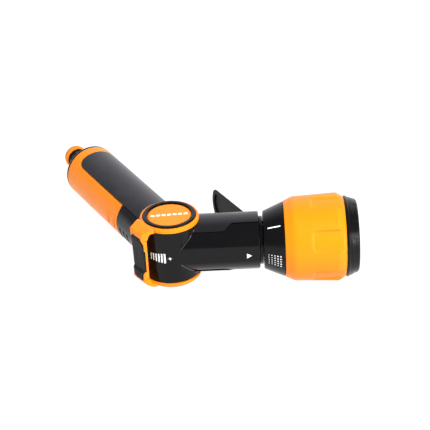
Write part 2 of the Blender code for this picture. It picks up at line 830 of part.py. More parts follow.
# ================================================================================================
# Spray head: turns on the spigot, with one port of the core in line with the selector at a time
# ================================================================================================
def head_spigot():
    """Fixed spigot: plugs the barrel, shows as the neck, and carries the head on its nose."""
    groove = 67.8 * MM
    profile = [
        (8.6 * MM, 54.3 * MM),
        (SPIGOT_BORE - GAP, 54.3 * MM),
        (SPIGOT_BORE - GAP, BARREL_END + 0.1 * MM),
        (16.35 * MM, BARREL_END + 0.3 * MM),
        (16.35 * MM, 62.0 * MM),
        (15.6 * MM, 62.0 * MM),
        (15.6 * MM, 61.2 * MM),
        (12.2 * MM, 61.2 * MM),
        (12.2 * MM, 62.0 * MM),
        (11.0 * MM, 62.0 * MM),
        (11.0 * MM, 73.0 * MM),
        (9.5 * MM, 73.0 * MM),
        (9.5 * MM, 75.2 * MM),
        (11.0 * MM, 75.2 * MM),
        (11.0 * MM, 79.0 * MM),
        (4.0 * MM, 79.0 * MM),
        (4.0 * MM, 75.0 * MM),
        (5.5 * MM, 75.0 * MM),
        (5.5 * MM, groove + 2 * MM),
        (6.6 * MM, groove + 2 * MM),
        (6.6 * MM, groove),
        (5.5 * MM, groove),
        (5.5 * MM, 65.4 * MM),
        (8.6 * MM, 65.4 * MM),
    ]
    return turned("head_spigot", profile, GUN, MEDIUM, rotation=X_AXIS, material=GLOSS)


def head_cone():
    """Black cone behind the bezel, with the bearing hub and the detent's pocket."""
    profile = [
        (11.3 * MM, HEAD_START),
        (19.4 * MM, HEAD_START),
        (25.5 * MM, CONE_END),
        (23.0 * MM, CONE_END),
        (18.6 * MM, 66.0 * MM),
        (16.6 * MM, 66.0 * MM),
        (16.6 * MM, 71.0 * MM),
        (14.0 * MM, 71.0 * MM),
        (14.0 * MM, 79.0 * MM),
        (11.3 * MM, 79.0 * MM),
    ]
    cone = turned("head_cone", profile, HEAD, FINE, rotation=X_AXIS, material=GLOSS)
    pocket = rod("detent_pocket", 1.9 * MM, 60 * MM, 69.5 * MM, HEAD, COARSE, rotation=X_AXIS)
    pocket.location = (0, 0, 13.9 * MM)
    return cut(cone, pocket)


def detent_ball():
    mesh = bpy.data.meshes.new("detent_ball")
    work = bmesh.new()
    bmesh.ops.create_uvsphere(work, u_segments=12, v_segments=8, radius=1.5 * MM)
    work.to_mesh(mesh)
    work.free()
    return add_object("detent_ball", mesh, HEAD, location=(63.2 * MM, 0, 13.9 * MM), material=STEEL)


def detent_spring():
    spring = coil("detent_spring", 1.2 * MM, 0.5 * MM, 65.1 * MM, 69.2 * MM, 3, HEAD, X_AXIS, STEEL)
    spring.location = (0, 0, 13.9 * MM)
    return spring


def head_bezel():
    """Orange bezel that the hand turns, with a finger flat for each pattern."""
    profile = [
        (23.4 * MM, BEZEL_START),
        (25.7 * MM, BEZEL_START),
        (28.6 * MM, 82.7 * MM),
        (28.75 * MM, 89.2 * MM),
        (BEZEL_RADIUS, BEZEL_WIDEST),
        (26.9 * MM, BEZEL_END),
        (24.4 * MM, BEZEL_END),
        (24.4 * MM, 79.5 * MM),
    ]
    bezel = turned("head_bezel", profile, HEAD, FINE, rotation=X_AXIS, material=ORANGE)
    for i in range(PATTERNS):
        flat = block(
            f"finger_flat_{i}", (FLAT_START, -FAR, FLAT_DISTANCE), (BEZEL_END + FAR, FAR, FAR), HEAD,
            rotation=(FLAT_ANGLE + 2 * pi * i / PATTERNS, 0, 0),
        )
        cut(bezel, flat)
    return bezel


def front_ring():
    """Black ring that clamps the spray face into the bezel."""
    profile = [
        (22.3 * MM, BEZEL_END + GAP),
        (27.0 * MM, BEZEL_END + GAP),
        (27.0 * MM, 118.9 * MM),
        (26.3 * MM, 119.7 * MM),
        (24.6 * MM, RIM_FRONT - 0.6 * MM),
        (24.0 * MM, RIM_FRONT),
        (22.3 * MM, RIM_FRONT),
    ]
    outer = turned("front_ring", profile, HEAD, FINE, rotation=X_AXIS, material=GLOSS)
    for i in range(PATTERNS):
        notch = block(
            f"rim_notch_{i}", (RIM_FRONT - 0.4 * MM, -4.3 * MM, 0), (RIM_FRONT + FAR, 4.3 * MM, FAR), HEAD,
            rotation=(radians(54.5) + 2 * pi * i / PATTERNS, 0, 0),
        )
        cut(outer, notch)
    return outer


def port_spot(index, height):
    """Centre of one of the six ports, in the head's own frame."""
    angle = 2 * pi * index / PATTERNS
    return Vector((height, PORT_CIRCLE * sin(angle), PORT_CIRCLE * cos(angle)))


def drill_ports(obj, name, radius, steps):
    for i in range(PATTERNS):
        spot = port_spot(i, 80 * MM)
        drill = rod(f"{name}_{i}", radius, -3 * MM, FAR, HEAD, steps, location=spot, rotation=X_AXIS)
        cut(obj, drill)
    return obj


def pattern_core():
    """Core with one water channel for each pattern."""
    profile = [
        (2.3 * MM, 84.4 * MM),
        (14.5 * MM, 84.4 * MM),
        (14.5 * MM, 104 * MM),
        (24.0 * MM, 104 * MM),
        (24.0 * MM, 107 * MM),
        (22.0 * MM, 107 * MM),
        (22.0 * MM, 116.6 * MM),
        (19.6 * MM, 116.6 * MM),
        (19.6 * MM, 109.5 * MM),
        (14.5 * MM, 109.5 * MM),
        (14.5 * MM, 118.6 * MM),
        (2.3 * MM, 118.6 * MM),
    ]
    core = turned("pattern_core", profile, HEAD, MEDIUM, rotation=X_AXIS, material=CORE)
    return drill_ports(core, "core_port", 2.6 * MM, 12)


def spray_face():
    """Face plate with one outlet for each pattern."""
    profile = [(2.3 * MM, FACE_BACK), (21.9 * MM, FACE_BACK), (21.9 * MM, FACE_FRONT), (2.3 * MM, FACE_FRONT)]
    face = turned("spray_face", profile, HEAD, FINE, rotation=X_AXIS, material=FACE)
    for i in range(PATTERNS):
        angle = 2 * pi * i / PATTERNS
        spot = Vector((FACE_FRONT, 13.5 * MM * sin(angle), 13.5 * MM * cos(angle)))
        hole = rod(f"face_hole_{i}", 2.0 * MM, -8 * MM, 2 * MM, HEAD, COARSE, location=spot, rotation=X_AXIS)
        cut(face, hole)
    return face


def selector_disc():
    """Fixed disc on the spigot's nose whose single port feeds one channel of the core."""
    disc = ring(
        "selector_disc", 2.3 * MM, 13.6 * MM, 79.3 * MM, 82.2 * MM, GUN, MEDIUM, rotation=X_AXIS, material=CORE
    )
    dish = ring("selector_dish", 2.9 * MM, 12.6 * MM, 70 * MM, 80.4 * MM, GUN, MEDIUM, rotation=X_AXIS)
    spot = port_spot(0, 80 * MM)
    port = rod("selector_port", 2.4 * MM, -9 * MM, 9 * MM, GUN, COARSE, location=spot, rotation=X_AXIS)
    return cut(disc, dish, port)


def selector_seal():
    """Face seal around the selector's port."""
    seal = o_ring("selector_seal", 3.3 * MM, 1.2 * MM, 0, GUN, X_AXIS, RUBBER)
    seal.location = port_spot(0, 83.3 * MM)
    return seal


def head_screw():
    """Shoulder screw through the face and the core, which keeps the head on."""
    profile = [
        (0, FACE_FRONT + 2.2 * MM),
        (2.8 * MM, FACE_FRONT + 2.0 * MM),
        (3.9 * MM, FACE_FRONT + 1.2 * MM),
        (3.9 * MM, FACE_FRONT + GAP),
        (1.9 * MM, FACE_FRONT + GAP),
        (1.9 * MM, 77 * MM),
        (0, 76.4 * MM),
    ]
    return turned("head_screw", profile, HEAD, COARSE, rotation=X_AXIS, material=STEEL)


# ================================================================================================
# Assembly
# ================================================================================================
def stand_on_ground():
    """Moves the gun so that its box is centred on the origin and stands on z = 0."""
    graph = bpy.context.evaluated_depsgraph_get()
    corners = []
    for obj in PARTS.objects:
        if obj.type == "EMPTY":
            continue
        shape = obj.evaluated_get(graph)
        mesh = shape.to_mesh()
        corners += [shape.matrix_world @ vertex.co for vertex in mesh.vertices]
        shape.to_mesh_clear()
    low = Vector([min(c[i] for c in corners) for i in range(3)])
    high = Vector([max(c[i] for c in corners) for i in range(3)])
    GUN.location = (-(low.x + high.x) / 2, -(low.y + high.y) / 2, -low.z)


def shade(obj):
    if obj.type == "MESH":
        obj.data.shade_smooth()
        obj.data.set_sharp_from_angle(angle=radians(30))


def build():
    main_housing()
    barrel_cover()
    grip_overmold()
    handle_back_cover()
    end_cap()
    hose_connector()
    connector_collar()
    o_ring("connector_tip_seal", 7.4 * MM, 1.2 * MM, 152.2 * MM, GUN, HANDLE_AXIS, RUBBER)
    water_tube()
    inlet_filter()
    flow_rotor()
    flow_yoke()
    thumb_pad()
    for side, word in ((1, "upper"), (-1, "lower")):
        hub(f"{word}_hub", side)
        cap_disc(f"{word}_cap_disc", side)
        hub_screw(f"{word}_hub_screw", side)
        o_ring(f"{word}_rotor_seal", DRUM_BORE - 1.3 * MM, 1.7 * MM, side * 14.8 * MM, LEVER, Z_AXIS, RUBBER)
    trigger()
    trigger_pin()
    valve_sleeve()
    valve_seat()
    valve_stem()
    stem_seal()
    valve_spring()
    o_ring("stem_ring_rear", 5.95 * MM, 1.1 * MM, 38.9 * MM, GUN, X_AXIS, RUBBER)
    o_ring("stem_ring_front", 5.95 * MM, 1.1 * MM, 68.8 * MM, GUN, X_AXIS, RUBBER)
    head_spigot()
    o_ring("head_seal", 10.45 * MM, 1.3 * MM, 74.1 * MM, GUN, X_AXIS, RUBBER)
    head_cone()
    detent_ball()
    detent_spring()
    head_bezel()
    front_ring()
    pattern_core()
    spray_face()
    selector_disc()
    selector_seal()
    head_screw()


clear_scene()
PARTS = make_collection("hose_spray_nozzle")
CUTTERS = make_collection("cutters")

ORANGE = make_material("orange_plastic", (0.93, 0.36, 0.03), 0.42)
GLOSS = make_material("black_gloss_plastic", (0.012, 0.012, 0.014), 0.22)
SATIN = make_material("black_satin_plastic", (0.03, 0.03, 0.033), 0.48)
GRIP = make_material("soft_grip", (0.028, 0.028, 0.031), 0.6)
RUBBER = make_material("rubber", (0.02, 0.02, 0.022), 0.75)
CORE = make_material("inner_plastic", (0.06, 0.06, 0.065), 0.5)
FACE = make_material("face_plastic", (0.05, 0.05, 0.055), 0.45)
STEEL = make_material("steel", (0.62, 0.63, 0.65), 0.3, 1.0)
BRASS = make_material("brass", (0.72, 0.55, 0.27), 0.32, 1.0)

GUN = make_empty("gun", rotation=(-LYING_ROLL, -LYING_PITCH, 0))
HEAD = make_empty("head_axis", GUN)
LEVER = make_empty("lever_axis", GUN)
PULL = make_empty("trigger_axis", GUN, location=(PIVOT_X, PIVOT_Y, 0))
STEM = make_empty("stem_axis", GUN)

build()
for piece in PARTS.objects:
    shade(piece)
bpy.context.view_layer.update()
stand_on_ground()
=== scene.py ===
"""Looks of the pistol-grip hose nozzle: smooth shells, printed marks, materials, light and camera.

Shapes are given in millimetres in the frame of the gun: +X along the barrel to the spray face, +Z
along the drum of the flow valve, and the handle in the plane z = 0.  GUN carries them into the
room.  Angles round the barrel start at +Z and turn towards -Y, round the drum they start at +X and
turn towards +Y, and round the handle they start at +Z and turn towards its back.
"""

import json
from math import cos, hypot, pi, radians, sin, sqrt

import bmesh
import bpy
from mathutils import Matrix, Vector


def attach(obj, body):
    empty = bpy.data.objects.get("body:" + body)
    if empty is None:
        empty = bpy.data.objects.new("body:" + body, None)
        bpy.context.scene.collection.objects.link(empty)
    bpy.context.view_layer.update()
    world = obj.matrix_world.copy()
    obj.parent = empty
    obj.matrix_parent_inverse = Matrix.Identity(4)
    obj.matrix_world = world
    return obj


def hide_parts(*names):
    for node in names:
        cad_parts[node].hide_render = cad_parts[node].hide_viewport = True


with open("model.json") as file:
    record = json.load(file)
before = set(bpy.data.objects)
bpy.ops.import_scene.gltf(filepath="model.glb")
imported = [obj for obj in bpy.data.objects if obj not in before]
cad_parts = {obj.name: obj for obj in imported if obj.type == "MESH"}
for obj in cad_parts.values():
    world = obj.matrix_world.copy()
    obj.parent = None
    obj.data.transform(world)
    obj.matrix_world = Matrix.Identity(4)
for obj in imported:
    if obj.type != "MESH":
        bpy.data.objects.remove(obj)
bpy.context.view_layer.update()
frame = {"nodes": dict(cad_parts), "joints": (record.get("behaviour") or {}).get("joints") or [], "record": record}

MM = 0.001
TINY = 1e-6
GAP = 0.3  # clearance between neighbouring pieces
FAR = 80.0  # past the end of anything that is cut
HAIR = 0.05  # keeps the flat side of a cutter off the points of a turned surface
INK = 0.05  # how far printed ink stands proud, and is sunk
ROUND = 144
SMALL_ROUND = 48
HALVES = (("upper", 1), ("lower", -1))  # the two ends of the drum

# ---- barrel, drum and handle -------------------------------------------------------------------
TUBE = 19.2
SPINE = 18.9
SPINE_FLAT = 18.1
CORE = 17.2
COVER = 19.6
DRUM_HALF = 19.4
DRUM_BORE = 14.7
BARREL_END = 59.7
BARREL_BORE = 12.2
MOUTH_BORE = 15.8
MOUTH_START = 54.0
WATER_BORE = 6.3
HANDLE_TURN = radians(119.1)
HANDLE_END = 123.0
HANDLE_BORE = 14.4
HANDLE_BORE_START = 24.0
NECK = 19.1
GROOVE_START = 28.0
GROOVE_STEP = 5.2
GROOVE_DEPTH = 1.1
GROOVE_TOP = -1.0
BAND_START = 115.0
STRIP_START = 44.2
STRIP_HALF = 13.5
STRIP_RIBS = (48.7, 57.7)
CORNER_LONG = 8.5
CORNER_WIDE = 4.6
STEP_START = 36.4
STEP_END = 41.0
SPINE_HALF_REAR = 15.2
SPINE_HALF_FRONT = 18.3

# ---- flow valve --------------------------------------------------------------------------------
YOKE = 19.9
YOKE_TOP = 22.8
YOKE_FLOOR = DRUM_HALF + GAP
YOKE_WEB = 20.6
HUB = 17.9
HUB_TOP = 23.7
DISC = 14.8
DISC_TOP = 22.9
LEVER_TURN = radians(215.0)
LEVER_REACH = 27.3
LEVER_HALF = 6.5
PAD_HALF = 16.6

# ---- trigger -----------------------------------------------------------------------------------
PIVOT = Vector((49.0, 11.5, 0))
PIN_BORE = 1.8
PIN_REACH = 10.4
SLOT_START = 42.2
SLOT_END = 55.5
SLOT_HALF = 8.3
TRIGGER_TURN = radians(119.7)
TRIGGER_ROOT = Vector((50.9, 21.5, 0))
TRIGGER_LENGTH = 41.3
TRIGGER_HALF = 9.2
TIP_ROUND = 20.0
ARM_HALF = 7.9
FORK_HALF = 5.6

# ---- head --------------------------------------------------------------------------------------
PATTERNS = 6
CONE_START = 62.9
CONE_END = 76.1
CONE_REAR = 19.7
CONE_FRONT = 25.4
BEZEL_WIDE = 30.0
RECESS_FLOOR = 28.2
RECESS_CORNER = 3.0
RECESS_START = 94.5
RECESS_TURN = radians(65.0)
RECESS_HALF = radians(14.5)
NOTCH_START = 121.5
NOTCH_TURN = radians(80.0)
NOTCH_HALF = radians(16.4)
NOTCH_DEPTH = 0.35
FACE_FRONT = 122.4
PORT_CIRCLE = 13.5

# ---- printed marks -----------------------------------------------------------------------------
BARS = 6
FIRST_BAR = 227.0
BAR_STEP = 6.2
STAR_TURN = radians(268.7)
FIRST_PATTERN = radians(38)
SHOWER_ROWS = 5
DASHES = 7
DASH_STEP = 3.7
CAP_TURN = radians(4.0)

# ---- room --------------------------------------------------------------------------------------
FLOOR_HALF = 6.0
CAMERA_DIP = radians(31.87)
CAMERA_TURN = radians(0.92)
CAMERA_ROLL = radians(0.2)
CAMERA_DISTANCE = 1.0476
CAMERA_AIM = Vector((0.00669, -0.04371, 0.04123))
FOCAL_LENGTH = 129.54
SENSOR = 36.0


# ================================================================================================
# The gun's frame and its three turning axes
# ================================================================================================
def joint(name):
    """The frame's facts about one joint."""
    return next(j for j in frame["joints"] if j["name"] == name)


def gun_frame():
    """The gun's frame, from the axes that its head and its flow lever turn about."""
    barrel = Vector(joint("head_spin")["axis"])
    drum = Vector(joint("flow_lever_turn")["axis"])
    turn = Matrix((barrel, drum.cross(barrel), drum)).transposed().to_4x4()
    return Matrix.Translation(joint("flow_lever_turn")["pos_m"]) @ turn @ Matrix.Scale(MM, 4)


GUN = gun_frame()
UP = Vector((0, 0, 1))
ALONG_HANDLE = Vector((cos(HANDLE_TURN), sin(HANDLE_TURN), 0))
HANDLE_BACK = Vector((-sin(HANDLE_TURN), cos(HANDLE_TURN), 0))
AXES = {
    "barrel": (Vector((1, 0, 0)), UP, Vector((0, -1, 0))),
    "drum": (UP, Vector((1, 0, 0)), Vector((0, 1, 0))),
    "handle": (ALONG_HANDLE, UP, HANDLE_BACK),
}


def on(axis, radius, angle, height):
    """The point at a radius, angle and height about one of the gun's axes."""
    along, zero, quarter = AXES[axis]
    return along * height + (zero * cos(angle) + quarter * sin(angle)) * radius


def smoothstep(low, high, value):
    """0 below low, 1 above high, and a smooth rise between them."""
    t = min(max((value - low) / (high - low), 0), 1)
    return t * t * (3 - 2 * t)


# ================================================================================================
# Mesh building
# ================================================================================================
def make_mesh(verts, faces):
    """A mesh of the given points, with every face turned outwards."""
    mesh = bpy.data.meshes.new("shape")
    mesh.from_pydata([tuple(v) for v in verts], [], faces)
    work = bmesh.new()
    work.from_mesh(mesh)
    bmesh.ops.remove_doubles(work, verts=work.verts, dist=TINY)
    bmesh.ops.recalc_face_normals(work, faces=work.faces)
    work.to_mesh(mesh)
    work.free()
    return mesh


def add_object(mesh):
    obj = bpy.data.objects.new("shape", mesh)
    bpy.context.scene.collection.objects.link(obj)
    return obj


def soften(corners, bits=4):
    """A loop of (x, y) or (x, y, fillet) corners, with each filleted corner replaced by a curve."""
    points = []
    count = len(corners)
    for i, corner in enumerate(corners):
        here = Vector(corner[:2])
        fillet = corner[2] if len(corner) > 2 else 0
        if not fillet:
            points.append(here)
            continue
        before = Vector(corners[i - 1][:2]) - here
        after = Vector(corners[(i + 1) % count][:2]) - here
        reach = min(fillet, before.length * 0.49, after.length * 0.49)
        start = here + before.normalized() * reach
        end = here + after.normalized() * reach
        for k in range(bits + 1):
            t = k / bits
            points.append(start * (1 - t) ** 2 + here * 2 * t * (1 - t) + end * t * t)
    return points


def refine(points, longest):
    """The loop with no stretch longer than the given length."""
    fine = []
    for here, there in zip(points, points[1:] + points[:1]):
        bits = max(1, round((there - here).length / longest))
        fine += [here.lerp(there, k / bits) for k in range(bits)]
    return fine


def lathe(corners, axis="barrel", steps=ROUND, warp=None, longest=None, centre=Vector()):
    """A turned solid.  corners are (radius, height) or (radius, height, fillet); warp bends the
    radius by height and angle."""
    loop = soften(corners)
    if longest:
        loop = refine(loop, longest)
    verts = []
    rows = []
    for radius, height in loop:
        if radius < TINY:
            rows.append([len(verts)] * steps)
            verts.append(on(axis, 0, 0, height) + centre)
            continue
        rows.append(list(range(len(verts), len(verts) + steps)))
        for k in range(steps):
            angle = 2 * pi * k / steps
            reach = warp(radius, height, angle) if warp else radius
            verts.append(on(axis, reach, angle, height) + centre)
    faces = []
    for lower, upper in zip(rows, rows[1:] + rows[:1]):
        for k in range(steps):
            n = (k + 1) % steps
            ring = list(dict.fromkeys((lower[k], lower[n], upper[n], upper[k])))
            if len(ring) > 2:
                faces.append(ring)
    return add_object(make_mesh(verts, faces))


def rod(radius, start, end, axis="barrel", steps=ROUND, centre=Vector()):
    return lathe([(0, end), (radius, end), (radius, start), (0, start)], axis, steps, centre=centre)


def sleeve(inner, outer, start, end, axis="barrel", steps=ROUND):
    return lathe([(inner, end), (outer, end), (outer, start), (inner, start)], axis, steps)


def mirrored(upper):
    """A closed outline, from the half of it on the positive side of its second axis."""
    return upper + [(x, -y, *fillet) for x, y, *fillet in reversed(upper)]


def prism(corners, low, high, across, up, through, centre=Vector()):
    """A flat outline in the plane of the unit vectors across and up, thickened along through."""
    outline = soften(corners)
    count = len(outline)
    flat = [across * x + up * y + centre for x, y in outline]
    verts = [p + through * low for p in flat] + [p + through * high for p in flat]
    faces = [list(range(count)), list(range(count, 2 * count))]
    faces += [[i, (i + 1) % count, count + (i + 1) % count, count + i] for i in range(count)]
    return add_object(make_mesh(verts, faces))


def block(low, high, turn=0.0):
    """A box between two corners, turned about the drum's axis."""
    corners = [(low[0], low[1]), (high[0], low[1]), (high[0], high[1]), (low[0], high[1])]
    across = Vector((cos(turn), sin(turn), 0))
    up = Vector((-sin(turn), cos(turn), 0))
    return prism(corners, low[2], high[2], across, up, UP)


def settle(obj):
    """The object with its modifiers worked into its mesh."""
    graph = bpy.context.evaluated_depsgraph_get()
    mesh = bpy.data.meshes.new_from_object(obj.evaluated_get(graph))
    obj.modifiers.clear()
    obj.data = mesh
    return obj


def combine(obj, operation, others):
    """Works other solids into the object, and uses them up."""
    for other in others:
        mod = obj.modifiers.new(operation, "BOOLEAN")
        mod.operation = operation
        mod.solver = "MANIFOLD"
        mod.object = other
        settle(obj)
        bpy.data.objects.remove(other)
    return obj


def cut(obj, *others):
    return combine(obj, "DIFFERENCE", others)


def join(obj, *others):
    return combine(obj, "UNION", others)


def overlap(obj, *others):
    return combine(obj, "INTERSECT", others)


def round_edges(obj, width, bits=2, limit=35):
    """Bevels every edge that is sharper than the limit, in degrees."""
    mod = obj.modifiers.new("edges", "BEVEL")
    mod.width = width
    mod.segments = bits
    mod.limit_method = "ANGLE"
    mod.angle_limit = radians(limit)
    mod.miter_outer = "MITER_ARC"
    return settle(obj)


def finish_piece(obj, name, body, material, replaces=(), sharp=32):
    """Names the shape, puts it in the room, ties it to its body and material, and hides the CAD nodes that it
    replaces."""
    obj.name = name
    obj.data.name = name
    obj.data.transform(GUN)
    obj.data.materials.clear()
    obj.data.materials.append(material)
    obj.data.shade_smooth()
    obj.data.set_sharp_from_angle(angle=radians(sharp))
    even = obj.modifiers.new("even_normals", "WEIGHTED_NORMAL")
    even.keep_sharp = True
    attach(obj, body)
    if replaces:
        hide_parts(*replaces)
    return obj


# ================================================================================================
# Materials
# ================================================================================================
class Graph:
    """A short way to write a node material."""

    # A mix node names its sockets alike for each kind of value, so the colour ones go by number.
    MIX_FIRST = 6
    MIX_SECOND = 7
    MIX_COLOUR = 2

    def __init__(self, name):
        self.material = bpy.data.materials.new(name)
        self.material.use_nodes = True
        self.tree = self.material.node_tree
        self.shader = self.tree.nodes["Principled BSDF"]
        self.place = self.node("ShaderNodeTexCoord").outputs["Object"]

    def node(self, kind, settings=None, **inputs):
        made = self.tree.nodes.new(kind)
        for key, value in (settings or {}).items():
            setattr(made, key, value)
        for key, value in inputs.items():
            self.feed(made.inputs[key.replace("_", " ")], value)
        return made

    def feed(self, socket, value):
        if isinstance(value, bpy.types.NodeSocket):
            self.tree.links.new(value, socket)
        else:
            socket.default_value = value

    def noise(self, scale, detail=4.0, roughness=0.55, stretch=(1, 1, 1)):
        at = self.node("ShaderNodeMapping", Vector=self.place, Scale=stretch).outputs[0]
        return self.node(
            "ShaderNodeTexNoise", Vector=at, Scale=scale, Detail=detail, Roughness=roughness
        ).outputs["Fac"]

    def cells(self, scale):
        return self.node("ShaderNodeTexVoronoi", Vector=self.place, Scale=scale).outputs["Distance"]

    def between(self, value, low, high, to_low, to_high):
        return self.node(
            "ShaderNodeMapRange", Value=value, From_Min=low, From_Max=high, To_Min=to_low, To_Max=to_high
        ).outputs[0]

    def math(self, operation, first, second):
        made = self.node("ShaderNodeMath", {"operation": operation})
        self.feed(made.inputs[0], first)
        self.feed(made.inputs[1], second)
        return made.outputs[0]

    def mix(self, factor, first, second):
        made = self.node("ShaderNodeMix", {"data_type": "RGBA"})
        self.feed(made.inputs["Factor"], factor)
        self.feed(made.inputs[self.MIX_FIRST], first)
        self.feed(made.inputs[self.MIX_SECOND], second)
        return made.outputs[self.MIX_COLOUR]

    def bump(self, height, strength, distance, normal=None):
        made = self.node("ShaderNodeBump", Height=height, Strength=strength, Distance=distance)
        if normal:
            self.feed(made.inputs["Normal"], normal)
        return made.outputs["Normal"]

    def set(self, **inputs):
        for key, value in inputs.items():
            self.feed(self.shader.inputs[key.replace("_", " ")], value)
        return self.material


def colour(r, g, b):
    return (r, g, b, 1.0)


def moulded(name, base, shade, roughness, grain, grain_depth, worn, gloss):
    """Moulded plastic: slow drift of colour, fine spark texture, hairline scratches, pale edges."""
    g = Graph(name)
    drift = g.between(g.noise(28, 3), 0.3, 0.7, 0, 1)
    body = g.mix(drift, colour(*base), colour(*shade))
    edge = g.between(g.node("ShaderNodeNewGeometry").outputs["Pointiness"], 0.54, 0.64, 0, 0.22)
    patchy = g.math("MULTIPLY", edge, g.between(g.noise(160), 0.4, 0.7, 0, 1))
    dusty = g.between(g.noise(420, 2), 0.66, 0.78, 0, 0.05)
    aged = g.math("MAXIMUM", patchy, dusty)
    tint = g.mix(aged, body, colour(*worn))
    scratch = g.between(g.noise(900, 2, 0.4, (0.04, 1, 1)), 0.64, 0.7, 0, 1)
    fine = g.noise(grain, 2)
    polish = g.between(g.noise(60, 4), 0.3, 0.7, roughness - 0.03, roughness + 0.03)
    dulled = g.math("ADD", polish, g.math("MULTIPLY", scratch, 0.06))
    relief = g.math("SUBTRACT", fine, g.math("MULTIPLY", scratch, 0.35))
    return g.set(
        Base_Color=tint,
        Roughness=dulled,
        Normal=g.bump(relief, 0.35, grain_depth),
        Specular_IOR_Level=gloss,
    )


def orange_plastic():
    return moulded(
        "orange_plastic",
        base=(0.93, 0.242, 0.005),
        shade=(0.9, 0.23, 0.0045),
        roughness=0.34,
        grain=2600,
        grain_depth=0.00003,
        worn=(0.96, 0.34, 0.03),
        gloss=0.18,
    )


def gloss_black():
    return moulded(
        "gloss_black",
        base=(0.0025, 0.0025, 0.003),
        shade=(0.0035, 0.0035, 0.004),
        roughness=0.2,
        grain=1800,
        grain_depth=0.00001,
        worn=(0.016, 0.016, 0.017),
        gloss=0.2,
    )


def matt_black():
    return moulded(
        "matt_black",
        base=(0.008, 0.006, 0.0055),
        shade=(0.011, 0.008, 0.0075),
        roughness=0.42,
        grain=3000,
        grain_depth=0.00003,
        worn=(0.03, 0.028, 0.027),
        gloss=0.1,
    )


def polished_black():
    return moulded(
        "polished_black",
        base=(0.003, 0.003, 0.0035),
        shade=(0.004, 0.004, 0.0045),
        roughness=0.12,
        grain=1800,
        grain_depth=0.000005,
        worn=(0.02, 0.02, 0.02),
        gloss=1.0,
    )


def satin_black():
    return moulded(
        "satin_black",
        base=(0.006, 0.006, 0.0075),
        shade=(0.008, 0.008, 0.0095),
        roughness=0.33,
        grain=3200,
        grain_depth=0.00003,
        worn=(0.03, 0.03, 0.032),
        gloss=0.45,
    )


def soft_grip():
    return moulded(
        "soft_grip",
        base=(0.006, 0.006, 0.008),
        shade=(0.008, 0.008, 0.0105),
        roughness=0.3,
        grain=3600,
        grain_depth=0.00004,
        worn=(0.035, 0.035, 0.038),
        gloss=0.32,
    )


def black_rubber():
    """Matte rubber with a pebbled skin and a bloom of dust in its hollows."""
    g = Graph("black_rubber")
    pebble = g.cells(2400)
    bloom = g.between(g.noise(90, 5), 0.45, 0.75, 0, 0.5)
    skin = g.mix(bloom, colour(0.007, 0.007, 0.008), colour(0.014, 0.014, 0.015))
    rough = g.between(g.noise(220, 3), 0.3, 0.7, 0.56, 0.72)
    relief = g.bump(pebble, 0.5, 0.00006)
    return g.set(Base_Color=skin, Roughness=rough, Normal=relief, Specular_IOR_Level=0.25)


def inner_plastic():
    """Plain dark moulding with flow lines, for the parts that only show where they are opened."""
    g = Graph("inner_plastic")
    flow = g.noise(120, 6, 0.6, (0.2, 1, 1))
    skin = g.mix(g.between(flow, 0.35, 0.65, 0, 1), colour(0.045, 0.045, 0.048), colour(0.07, 0.07, 0.073))
    rough = g.between(g.noise(300, 3), 0.3, 0.7, 0.42, 0.58)
    return g.set(Base_Color=skin, Roughness=rough, Normal=g.bump(flow, 0.3, 0.00005))


def face_plastic():
    """Dark grey moulding of the spray face, with water marks."""
    g = Graph("face_plastic")
    ring = g.between(g.cells(260), 0.3, 0.42, 0, 0.4)
    skin = g.mix(ring, colour(0.032, 0.032, 0.035), colour(0.085, 0.085, 0.084))
    rough = g.between(g.noise(240, 4), 0.3, 0.7, 0.36, 0.55)
    return g.set(Base_Color=skin, Roughness=rough, Normal=g.bump(g.noise(2600, 2), 0.3, 0.00005))


def turned_metal(name, bright, dull, low, high):
    """Turned metal: fine tool marks, stains, and a roughness that follows both."""
    g = Graph(name)
    marks = g.noise(700, 2, 0.4, (1, 6, 6))
    stain = g.between(g.noise(130, 6), 0.42, 0.72, 0, 1)
    skin = g.mix(stain, colour(*bright), colour(*dull))
    rough = g.math("ADD", g.between(marks, 0.3, 0.7, low, high), g.math("MULTIPLY", stain, 0.12))
    return g.set(Base_Color=skin, Metallic=1.0, Roughness=rough, Normal=g.bump(marks, 0.3, 0.00003))


def steel():
    return turned_metal("steel", (0.62, 0.62, 0.63), (0.42, 0.41, 0.4), 0.2, 0.34)


def brass():
    return turned_metal("brass", (0.75, 0.54, 0.22), (0.48, 0.33, 0.13), 0.22, 0.36)


def white_print():
    """Pad-printed ink, a little uneven and worn through in specks."""
    g = Graph("white_print")
    worn = g.between(g.noise(1500, 3), 0.7, 0.8, 0, 0.6)
    ink = g.mix(worn, colour(0.9, 0.9, 0.9), colour(0.3, 0.3, 0.31))
    rough = g.between(g.noise(500, 3), 0.3, 0.7, 0.4, 0.55)
    return g.set(Base_Color=ink, Roughness=rough, Normal=g.bump(g.noise(3000, 2), 0.2, 0.00002))


ORANGE = orange_plastic()
MATT = matt_black()
POLISHED = polished_black()
GLOSS = gloss_black()
SATIN = satin_black()
GRIP = soft_grip()
RUBBER = black_rubber()
INNER = inner_plastic()
FACE = face_plastic()
STEEL = steel()
BRASS = brass()
PRINT = white_print()
SLOTS = {
    "orange_plastic": ORANGE,
    "black_gloss_plastic": GLOSS,
    "black_satin_plastic": SATIN,
    "soft_grip": GRIP,
    "rubber": RUBBER,
    "inner_plastic": INNER,
    "face_plastic": FACE,
    "steel": STEEL,
    "brass": BRASS,
}


def dress_frame_nodes():
    """Gives every piece of the CAD model the finish that its record names."""
    for part in frame["record"]["subparts"]:
        node = frame["nodes"][part["node"]]
        node.data.materials.clear()
        node.data.materials.append(SLOTS[part["material_slot"]])


